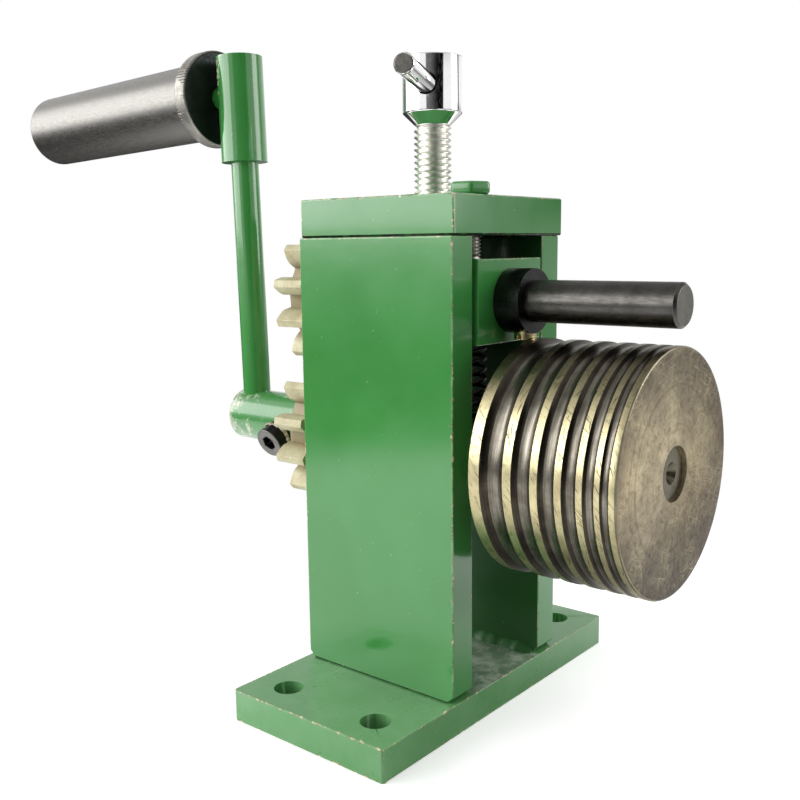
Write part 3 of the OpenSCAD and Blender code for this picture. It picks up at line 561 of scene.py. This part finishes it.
def rounded(points, radius, steps=4):
    """Rounds the inner corners of an open line of (radius, height) points."""
    line = [points[0]]
    for before, corner, after in zip(points, points[1:], points[2:]):
        b, c, a = Vector(before), Vector(corner), Vector(after)
        reach = min(radius, (b - c).length * 0.45, (a - c).length * 0.45)
        start, end = c + (b - c).normalized() * reach, c + (a - c).normalized() * reach
        for i in range(steps + 1):
            t = i / steps
            line.append(tuple(start * (1 - t) ** 2 + c * 2 * t * (1 - t) + end * t * t))
    line.append(points[-1])
    return line


def at(x, y, z):
    """A move to a place in millimetres."""
    return Matrix.Translation((x * MM, y * MM, z * MM))


# The frame: painted plates with worn edges and painted edge highlights, painted shadow in the joints,
# painted shade on the inner faces, and a satin, dusty base with painted light and sheen
def plate_slot(centre, normal, slot):
    """Painted shadow at a side plate's foot, and a darker copy of the paint as painted shade on its inner
    face.
    """
    if centre.z < BASE_TOP + 0.7:
        return 1
    return 2 if abs(centre.x) < INNER_X + 0.1 and abs(normal.x) > 0.9 else 0


def top_slot(centre, normal, slot):
    """Painted shadow in the joint under the top plate."""
    return 1 if centre.z < TOP_UNDERSIDE + 0.75 else 0


dressed("base_plate", "frame", [GREEN_BASE_LIT], 0.5, long=0.7)
for side, paint in (("left_side_plate", GREEN_LEFT), ("right_side_plate", GREEN_RIGHT)):
    dressed(side, "frame", [paint, GREEN_JOINT_SHADOW, GREEN_INNER_SHADED], 0.4, choose=plate_slot, long=0.6)
dressed("top_plate", "frame", [GREEN_TOP, GREEN_JOINT_SHADOW], 0.5, choose=top_slot, long=0.8)
dressed("top_plate_screws", "frame", [GREEN], 0.15, 2)
dressed("upper_bearing_block", "upper_block", [GREEN_BLOCK], 0.4, long=0.5)
dressed("lower_bearing_block", "frame", [BLACK, BLACK_RIM], 0.4, 2)
dressed("lower_bush", "frame", [BRONZE], 0.3, 2)
dressed("upper_bush", "upper_block", [BRONZE], 0.3, 2)

# The upper shaft and what turns with it
for name, materials, width in (
    ("front_collar", [BLACK, BLACK_RIM], 0.5),
    ("collar_screw", [ZINC], 0.25),
    ("rear_spacer", [BLACK], 0.4),
    ("upper_gear_key", [STEEL], 0.2),
    ("upper_end_washer", [ZINC], 0.25),
    ("upper_end_screw", [BLACK, BLACK_RIM], 0.3),
):
    dressed(name, "upper_roll", materials, width)


def shaft_slot(centre, normal, slot):
    """A paler front end on the upper shaft: a lighter copy of the steel as a painted reflection on its end
    face.
    """
    return 2 if normal.y < -0.9 else slot


dressed("upper_shaft", "upper_roll", [SHAFT, BLACK_RIM, SHAFT_FACE_LIT], 0.15, 2, choose=shaft_slot)

# The crank and the lower shaft
for name, materials, width in (
    ("lower_shaft", [SHAFT_END], 0.2),
    ("front_spacer", [BLACK], 0.4),
    ("lower_rear_spacer", [BLACK], 0.4),
    ("lower_gear_key", [STEEL], 0.2),
    ("crank_hub", [GREEN_HUB], 0.9),
    ("crank_arm", [GREEN], 0.3),
    ("arm_socket", [GREEN_SOCKET], 0.7),
    ("grip_pin", [GREEN], 0.3),
    ("grip_end_washer", [ZINC], 0.25),
    ("grip_end_screw", [BLACK, BLACK_RIM], 0.3),
):
    dressed(name, "crank", materials, width)

# The gears, the clamp screw, the grip and the tommy bar
dressed("upper_gear", "upper_roll", [UPPER_GEAR], 0.5)
dressed("lower_gear", "crank", [LOWER_GEAR], 0.5)


def clamp_slot(centre, normal, slot):
    """A rubbed free end on the clamp screw's head."""
    return 1 if normal.dot(CLAMP_WAY) > 0.9 else slot


def grip_slot(centre, normal, slot):
    """A dark front on the grip's flange, and tool marks on the flange's rim."""
    if normal.y < -0.9:
        return 2
    return 3 if centre.y < FLANGE_REAR else slot


def bar_slot(centre, normal, slot):
    """Sawn ends on the tommy bar."""
    return 2 if abs(normal.x) > 0.8 else slot


dressed("clamp_screw", "crank", [BLACK, BLACK_RIM], 0.45, choose=clamp_slot)
dressed("hand_grip", "handle", [GRIP, GRIP, GRIP_FACE, GRIP_RIM], 0.5, choose=grip_slot)
dressed("tommy_bar", "press", [CHROME, CHROME, BAR_END], 0.6, choose=bar_slot)


def clamp_torn_paint():
    """A ragged skin of torn paint round the clamp screw's head."""
    count, sides, radius, rise = 72, 8, 6.75, 13.8
    rng = random.Random(5)
    foot = Vector((0, CLAMP_Y, LOWER_AXIS)) + CLAMP_WAY * rise
    across = Vector((0, 1, 0))
    aslant = CLAMP_WAY.cross(across)
    bm = bmesh.new()
    rings = []
    for a in circle(count):
        way = math.cos(a) * across + math.sin(a) * aslant
        middle = foot + way * (radius + rng.uniform(-0.1, 0.2))
        middle += CLAMP_WAY * (rng.uniform(-0.35, 0.45) + 0.5 * math.sin(3 * a))
        thick, tall = rng.uniform(0.2, 0.4), rng.uniform(0.5, 1.1)
        ring = [middle + way * thick * math.cos(b) + CLAMP_WAY * tall * math.sin(b) for b in circle(sides)]
        rings.append([bm.verts.new(place * MM) for place in ring])
    skin(bm, rings, loop=True, capped=False)
    bmesh.ops.recalc_face_normals(bm, faces=bm.faces)
    finished("clamp_torn_paint", bm, "crank", [PAINT_SKIN], sharp=50)


clamp_torn_paint()

# The grooved roll: pale lands, dark hollow grooves with painted shade on their walls, and a scratched front
# face. Sizes in millimetres
ROLL_BORE, ROLL_SINK, SINK_DEPTH, ROLL_CHAMFER = 9.0, 9.3, 1.5, 0.4
REAR_LAND, LAND_SHARES = 4.5, (1, 0.71, 0.6, 0.55, 0.49, 0.42, 0.56)
REAR_GROOVE, GROOVE_SHARES = 9.0, (1, 0.78, 0.67, 0.56, 0.44, 0.33)
GROOVE_DEPTH_SHARE, GROOVE_LIP = 0.24, 0.12
GROOVE_STEPS, REAR_WALL_STEPS, FRONT_WALL_STEPS = 14, 4, 2
ON_LAND, IN_GROOVE, ON_FACE, ON_RIM, ON_SHADED_WALL = range(5)


def groove_outline(place, width):
    """Points across one groove, an arc between two small lips, with the slot of the step after each."""
    depth = width * GROOVE_DEPTH_SHARE
    radius = (width * width / 4 + depth * depth) / (2 * depth)
    half = math.asin(width / 2 / radius)
    points, slots = [(ROLL_R, place - GROOVE_LIP)], [ON_LAND]
    for i in range(GROOVE_STEPS + 1):
        a = half * (2 * i / GROOVE_STEPS - 1)
        points.append((ROLL_R - depth + radius * (1 - math.cos(a)),
                       place + width / 2 + radius * math.sin(a)))
        in_middle = REAR_WALL_STEPS <= i < GROOVE_STEPS - FRONT_WALL_STEPS
        slots.append(IN_GROOVE if in_middle else ON_SHADED_WALL)
    slots[-1] = ON_LAND
    return points + [(ROLL_R, place + width + GROOVE_LIP)], slots + [ON_LAND]


def roll_outline():
    """The roll's closed outline from its rear to its front, its slots, and its width."""
    line = [(ROLL_BORE, 0.0), (ROLL_R - ROLL_CHAMFER, 0.0), (ROLL_R, ROLL_CHAMFER)]
    slots = [ON_FACE, ON_LAND, ON_LAND]
    place = 0.0
    for land_share, groove_share in zip(LAND_SHARES, GROOVE_SHARES):
        place += REAR_LAND * land_share
        points, kinds = groove_outline(place, REAR_GROOVE * groove_share)
        line += points
        slots += kinds
        place += REAR_GROOVE * groove_share
    front = place + REAR_LAND * LAND_SHARES[-1]
    for r, y, kind in (
        (ROLL_R, front - 0.6, ON_RIM), (ROLL_R - 0.18, front - 0.18, ON_RIM),
        (ROLL_R - 0.6, front, ON_FACE), (ROLL_R - 1.5, front, ON_FACE),
        (ROLL_SINK + 0.35, front, ON_RIM), (ROLL_SINK + 0.08, front - 0.12, ON_RIM),
        (ROLL_SINK, front - 0.4, ON_FACE), (ROLL_SINK, front - SINK_DEPTH, ON_FACE),
        (ROLL_BORE, front - SINK_DEPTH, ON_FACE),
    ):
        line.append((r, y))
        slots.append(kind)
    return line, slots, front


def notch_counterbore(bm, front):
    """Fine notches round the edge of the counterbore."""
    count, depth, band, near_face = 64, 0.16, 0.5, ROLL_REAR - front + 0.45
    axis = LOWER_AXIS * MM
    for vert in bm.verts:
        x, z = vert.co.x, vert.co.z - axis
        r = math.hypot(x, z) / MM
        if abs(r - ROLL_SINK) < band and vert.co.y / MM < near_face:
            wider = 1 + depth * max(0, math.sin(count * math.atan2(z, x))) / r
            vert.co.x = x * wider
            vert.co.z = axis + z * wider


def grooved_roll():
    line, slots, front = roll_outline()
    forward = at(0, ROLL_REAR, LOWER_AXIS) @ Matrix.Rotation(math.radians(90), 4, "X")
    bm = turned(line, forward, 256, slots, loop=True)
    notch_counterbore(bm, front)
    finished("grooved_roll_turned", bm, "crank", [LAND, GROOVE, FACE, RIM, GROOVE_WALL_SHADED],
             "grooved_roll", sharp=24)


grooved_roll()

# The press screw: a helical thread under a turned head with the cross hole. Sizes in millimetres
HEAD_R, HEAD_LOW, HEAD_TOP = 11.25, 217.6, box_mm("press_screw")[1][2]
HEAD_NECK_R, HEAD_CONE_LOW, HEAD_CONE_TOP = 7.0, 218.0, 222.0
CROSS_HOLE_R, CROSS_HOLE_Z, CUTTER_LENGTH = 4.05, 230.9, 50
CROSS_HOLE_TURN, CROSS_HOLE_SLOPE = math.radians(24.3), math.radians(93)
SCREW_D, SCREW_PITCH, SCREW_TIP, THREAD_LOW, THREAD_TOP = 14, 2.25, 166.05, 173, 218
TIP_R, TIP_CHAMFER = 5.0, 0.4
ON_HEAD, IN_HOLE, ON_THREAD = range(3)


def bored_head():
    """A bmesh of the screw's head with its cross hole."""
    bm = turned(rounded([(0, HEAD_LOW), (HEAD_NECK_R - 0.4, HEAD_LOW), (HEAD_NECK_R, HEAD_CONE_LOW),
                         (HEAD_R, HEAD_CONE_TOP), (HEAD_R, HEAD_TOP), (0, HEAD_TOP)], 0.5),
                Matrix.Identity(4), 128)
    head = finished("press_screw_head", bm, None, [CHROME], sharp=35)
    bm = bmesh.new()
    bmesh.ops.create_cone(bm, cap_ends=True, segments=64, radius1=CROSS_HOLE_R * MM,
                          radius2=CROSS_HOLE_R * MM, depth=CUTTER_LENGTH * MM)
    cutter = finished("press_screw_cutter", bm, None, [HOLE])
    cutter.matrix_world = (at(0, 0, CROSS_HOLE_Z) @ Matrix.Rotation(CROSS_HOLE_TURN, 4, "Z")
                           @ Matrix.Rotation(CROSS_HOLE_SLOPE, 4, "Y"))
    bore = head.modifiers.new("cross_hole", "BOOLEAN")
    bore.operation, bore.solver, bore.object = "DIFFERENCE", "EXACT", cutter
    bore.material_mode = "TRANSFER"
    bpy.context.view_layer.update()
    bored = head.evaluated_get(bpy.context.evaluated_depsgraph_get())
    bm = bmesh.new()
    bm.from_mesh(bpy.data.meshes.new_from_object(bored))
    bpy.data.objects.remove(head)
    bpy.data.objects.remove(cutter)
    bmesh.ops.translate(bm, verts=bm.verts, vec=(0, SCREW_Y * MM, 0))
    return bm


def press_screw():
    bm = bored_head()
    thread(bm, SCREW_D, SCREW_PITCH, THREAD_LOW, THREAD_TOP, (0, SCREW_Y), slot=ON_THREAD, depth=0.56)
    tip_top = THREAD_LOW + 0.4
    tip = turned([(0, SCREW_TIP), (TIP_R - TIP_CHAMFER, SCREW_TIP), (TIP_R, SCREW_TIP + TIP_CHAMFER),
                  (TIP_R, tip_top), (0, tip_top)], at(0, SCREW_Y, 0), 64, ON_THREAD)
    tip_mesh = bpy.data.meshes.new("tip")
    tip.to_mesh(tip_mesh)
    tip.free()
    bm.from_mesh(tip_mesh)
    finished("press_screw_turned", bm, "press", [CHROME, HOLE, THREAD], "press_screw", sharp=38)


press_screw()


def guide_bolt():
    """A painted hexagon head over a bright thread."""
    x, y, _ = middle_mm("guide_bolt")
    low, top = (corner[2] for corner in box_mm("guide_bolt"))
    head_r, head_turn, head_round = 7.75, math.radians(8), 1.1
    d, pitch, thread_low = 8, 1.25, 169
    bm = bmesh.new()
    bmesh.ops.create_cone(bm, cap_ends=True, segments=6, radius1=head_r * MM, radius2=head_r * MM,
                          depth=(top - TOP_SURFACE) * MM,
                          matrix=at(x, y, (top + TOP_SURFACE) / 2) @ Matrix.Rotation(head_turn, 4, "Z"))
    bmesh.ops.bevel(bm, geom=bm.edges[:], offset=head_round * MM, segments=4, profile=0.5,
                    affect="EDGES", clamp_overlap=True)
    thread(bm, d, pitch, thread_low, TOP_SURFACE + 0.1, (x, y), slot=1, segments=40, per_turn=8)
    thread(bm, d, pitch, low, thread_low + 0.2, (x, y), slot=1, segments=40, per_turn=2, depth=0.02)
    finished("guide_bolt_turned", bm, "frame", [GREEN, STEEL], "guide_bolt", sharp=40)


guide_bolt()


def return_springs():
    """Two coils of round wire on a diagonal."""
    low, top = (corner[2] for corner in box_mm("return_springs"))
    wire, curl, turns, per_turn, sides = 1.3, 5.05, 7.6, 28, 12
    front_left, rear_right = (-13.8, -28.7), (13.8, 28.7)
    bm = bmesh.new()
    for x, y in (front_left, rear_right):
        path = []
        for i in range(int(turns * per_turn) + 1):
            a = 2 * math.pi * i / per_turn
            z = low + wire / 2 + (top - low - wire) * (i / per_turn / turns)
            path.append(Vector((x + curl * math.cos(a), y + curl * math.sin(a), z)))
        rings = []
        for before, point, after in zip(path[:1] + path[:-1], path, path[1:] + path[-1:]):
            way = (after - before).normalized()
            out = Vector((point.x - x, point.y - y, 0)).normalized()
            lift = way.cross(out).normalized()
            ring = [point + wire / 2 * (math.cos(a) * out + math.sin(a) * lift) for a in circle(sides)]
            rings.append([bm.verts.new(place * MM) for place in ring])
        skin(bm, rings)
    bmesh.ops.recalc_face_normals(bm, faces=bm.faces)
    return finished("return_springs_wire", bm, None, [SPRING], "return_springs")


springs = return_springs()
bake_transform(springs)


def weld_bead(bm, rng, side, foot, rise):
    """One lumpy bead along the inner corner at a height, on the left (-1) or right (1) side plate."""
    inner, rear = box_mm("frame_welds")[1][:2]
    steps, arc = 88, 6
    rings = []
    for i in range(steps + 1):
        y = rear * (2 * i / steps - 1)
        ends = min(1, (i + 1) / 4, (steps + 1 - i) / 4)
        waves = 0.14 * math.sin(i * 0.83 + side) + 0.3 * math.sin(i * 0.31 + foot)
        leg = (3.0 + waves + rng.uniform(-0.03, 0.03)) * (0.45 + 0.55 * ends)
        ring = [bm.verts.new(Vector((side * inner, y, foot)) * MM)]
        for k in range(arc + 1):
            a = math.pi / 2 * k / arc
            bulge = leg * (1 - 0.16 * math.sin(2 * a) + rng.uniform(-0.02, 0.02))
            corner = Vector((side * (inner - bulge * math.cos(a)), y, foot + rise * bulge * math.sin(a)))
            ring.append(bm.verts.new(corner * MM))
        rings.append(ring)
    skin(bm, rings)


def weld_beads():
    """Beads along the feet of the side plates and under the lower block."""
    low, top = (corner[2] for corner in box_mm("frame_welds"))
    rng = random.Random(11)
    bm = bmesh.new()
    for side in (-1, 1):
        weld_bead(bm, rng, side, low, 1)
        weld_bead(bm, rng, side, top, -1)
    bmesh.ops.recalc_face_normals(bm, faces=bm.faces)
    finished("frame_weld_beads", bm, "frame", [GREEN_WELD_SHADED], "frame_welds", sharp=60)


weld_beads()

# The stage: a floor, a room that only reflections and bounced light see, and two lamps. Sizes in metres
FLOOR_HALF = 9
floor_mesh = bpy.data.meshes.new("floor")
floor_mesh.from_pydata([(-FLOOR_HALF, -FLOOR_HALF, 0), (FLOOR_HALF, -FLOOR_HALF, 0),
                        (FLOOR_HALF, FLOOR_HALF, 0), (-FLOOR_HALF, FLOOR_HALF, 0)], [], [(0, 1, 2, 3)])
floor = bpy.data.objects.new("floor", floor_mesh)
scene.collection.objects.link(floor)


def floor_paint():
    """White to the camera; reflections and bounced light see paper near the mill, with a painted shadow
    under the roll, and a darker floor; reflections also see the floor glow.
    """
    s = Shader("floor_white")
    rays = s.node("ShaderNodeLightPath").outputs
    seen, glossy = rays["Is Camera Ray"], rays["Is Glossy Ray"]
    oval = s.vector("MULTIPLY", s.vector("ADD", s.place, (100, 0, 0)), (1.0, 1.25, 1.0))
    reach = s.length(oval)
    to_left = s.along(s.place, (-0.788, 0.616, 0))
    to_side = s.along(s.place, (0.574, 0.819, 0))

    # How white the floor is to light that bounces off it, with a darker patch where the mill stands: a
    # painted shadow under the roll
    near = s.ramp(reach, 400, 580, 1, 0)
    painted_shadow_reach = s.length(s.vector("ADD", s.place, (-20, 80, 0)))
    near_lit = s.times(near, s.ramp(painted_shadow_reach, 60, 130, 0.45, 1))
    far_right = s.times(s.ramp(to_side, 100, 400), s.ramp(to_left, -1000, -2000))
    far_left = s.times(s.ramp(to_left, 1000, 2600), 0.8)
    white = s.math("MAXIMUM", s.math("MAXIMUM", seen, near_lit), s.math("MAXIMUM", far_right, far_left))

    # What the glossy paint and the roll mirror: the floor glows for reflected rays only, a painted
    # reflection of a pale floor on the left and a paler one to the right
    left_glow = s.times(near, s.ramp(to_left, 50, 120, 0, 0.66))
    right_glow = s.times(s.ramp(reach, 800, 1500, 0.68, 0.2), s.ramp(to_left, -30, -100))
    reflected_glow = s.times(glossy, s.math("ADD", left_glow, right_glow))
    shown = s.times(seen, s.ramp(to_left, -120, 80, 0.58, 0.38))
    s.set(Base_Color=s.mix(white, (0.05, 0.05, 0.05), (0.9, 0.9, 0.9)), Roughness=0.9, Specular_IOR_Level=0,
          Emission_Color=(1, 1, 1), Emission_Strength=s.math("ADD", shown, reflected_glow))

    # The mill stands at the edge of a bench and its crank swings past it, so the floor is open there. What
    # lies lower than the floor is also seen through it from afar, where no shadow falls.
    side_way, rear_way, _ = s.split(s.place)
    swing = s.times(s.ramp(s.math("ABSOLUTE", side_way), 160, 190, 1, 0),
                    s.ramp(rear_way, 60, 75), s.ramp(rear_way, 270, 300, 1, 0))
    away = s.ramp(s.length(s.place), 200, 300)
    lit = s.times(swing, s.less(s.math("MAXIMUM", seen, glossy)))
    clear = s.math("ADD", lit, s.times(seen, s.math("MAXIMUM", swing, away)))
    through = s.node("ShaderNodeBsdfTransparent").outputs[0]
    both = s.node("ShaderNodeMixShader", (clear, s.bsdf.outputs[0], through)).outputs[0]
    s.feed(s.tree.nodes["Material Output"].inputs["Surface"], both)
    return s.material


floor_mesh.materials.append(floor_paint())


class Room(Tree):
    """Zones of the world by the direction of a ray: azimuths in degrees, heights as the ray's rise."""

    def __init__(self, tree):
        super().__init__(tree)
        self.ray = self.node("ShaderNodeTexCoord").outputs["Generated"]
        self.rise = self.split(self.ray)[2]

    def toward(self, azimuth):
        turn = math.radians(azimuth)
        return self.along(self.ray, (math.cos(turn), math.sin(turn), 0))

    def dark_side(self):
        """The dark part of the room behind the camera, a little lighter in clouds and on one side."""
        azimuth = 226
        across = self.toward(azimuth + 90)
        wedge = self.times(self.ramp(self.toward(azimuth), 0.62, 0.74), self.ramp(across, -0.58, -0.48),
                           self.ramp(across, 0.50, 0.56, 1, 0))
        cloud = self.node("ShaderNodeTexNoise", {
            "Vector": self.vector("MULTIPLY", self.ray, (1, 1, 5)), "Scale": 9.0, "Detail": 4.0,
            "Roughness": 0.6}).outputs["Fac"]
        shade = self.math("ADD", self.ramp(across, -0.5, 0.25, 0.15, 0.0),
                          self.ramp(cloud, 0.45, 0.75, 0.0, 0.08))
        return self.times(wedge, self.less(shade))

    def slit(self):
        """A narrow dark line, as between two light boxes."""
        azimuth = 331
        off_line = self.math("ABSOLUTE", self.toward(azimuth + 90))
        return self.times(self.ramp(off_line, 0.05, 0.07, 1, 0), self.ramp(self.toward(azimuth), 0.3, 0.4),
                          self.ramp(self.rise, 0.0, 0.05))

    def ceiling(self):
        """The greyer ceiling, which reaches lower at the far right."""
        far_right = self.times(self.ramp(self.rise, 0.20, 0.35), self.ramp(self.toward(10), 0.50, 0.62))
        return self.math("MAXIMUM", self.ramp(self.rise, 0.70, 0.80), far_right)

    def front(self):
        """A slightly dimmer part high up in front."""
        return self.times(self.ramp(self.rise, 0.20, 0.35), self.ramp(self.toward(285), 0.45, 0.65))

    def horizon(self):
        """A greyer band low in front, which the plates' front faces mirror."""
        return self.times(self.ramp(self.rise, 0.08, 0.12, 1, 0), self.ramp(self.toward(325), 0.80, 0.93))


def room():
    """Pale all round with darker zones for reflections and light, plain white to the camera."""
    world = bpy.data.worlds.new("studio")
    scene.world = world
    world.use_nodes = True
    r = Room(world.node_tree)
    seen = r.node("ShaderNodeLightPath").outputs["Is Camera Ray"]
    back = r.ramp(r.toward(78), 0.90, 0.97, 1.0, 0.5)
    light = r.times(r.less(r.dark_side()), r.less(r.horizon(), 0.5), r.less(r.slit(), 0.85),
                    r.less(r.ceiling(), 0.5), r.less(r.front(), 0.3), back, 1.1)
    shown = r.node("ShaderNodeMix", {0: seen, 2: light, 3: 1.0}, data_type="FLOAT").outputs[0]
    background = world.node_tree.nodes["Background"]
    r.feed(background.inputs["Strength"], shown)
    r.feed(background.inputs["Color"], (1, 1, 1))


def softbox(name, place, target, size, watts):
    """A rectangular area lamp that looks at a point; lengths in metres."""
    lamp = bpy.data.lights.new(name, "AREA")
    lamp.shape = "RECTANGLE"
    lamp.size, lamp.size_y = size
    lamp.energy = watts
    box = bpy.data.objects.new(name, lamp)
    box.location = place
    box.rotation_euler = (Vector(target) - Vector(place)).to_track_quat("-Z", "Y").to_euler()
    scene.collection.objects.link(box)


room()
softbox("left_box", place=(-0.92, 0.91, 0.64), target=(0, 0, 0.64), size=(1.6, 0.9), watts=15)
softbox("right_box", place=(0.85, -1.10, 0.60), target=(0, 0, 0.40), size=(0.7, 0.8), watts=6.5)

# The photo's camera, fitted to its points: a place in metres, turns in degrees, a focal length in pixels
CAMERA_PLACE = (-0.29859, -0.22937, 0.17368)
YAW, PITCH, ROLL = (math.radians(a) for a in (-50.624, 8.933, -0.639))
FOCAL_PX, IMAGE_PX, SENSOR_MM = 979.33, 800, 36


def camera():
    back = Vector((math.sin(YAW) * math.cos(PITCH), -math.cos(YAW) * math.cos(PITCH), math.sin(PITCH)))
    level = Vector((math.cos(YAW), math.sin(YAW), 0))
    over = back.cross(level)
    right = level * math.cos(ROLL) + over * math.sin(ROLL)
    up = over * math.cos(ROLL) - level * math.sin(ROLL)
    lens = bpy.data.cameras.new("camera")
    lens.sensor_width = SENSOR_MM
    lens.lens = FOCAL_PX * SENSOR_MM / IMAGE_PX
    lens.clip_start = 0.01
    made = bpy.data.objects.new("camera", lens)
    made.matrix_world = Matrix((
        (right.x, up.x, back.x, CAMERA_PLACE[0]),
        (right.y, up.y, back.y, CAMERA_PLACE[1]),
        (right.z, up.z, back.z, CAMERA_PLACE[2]),
        (0, 0, 0, 1),
    ))
    scene.collection.objects.link(made)
    return made


scene.camera = camera()
scene.view_settings.view_transform = "Standard"
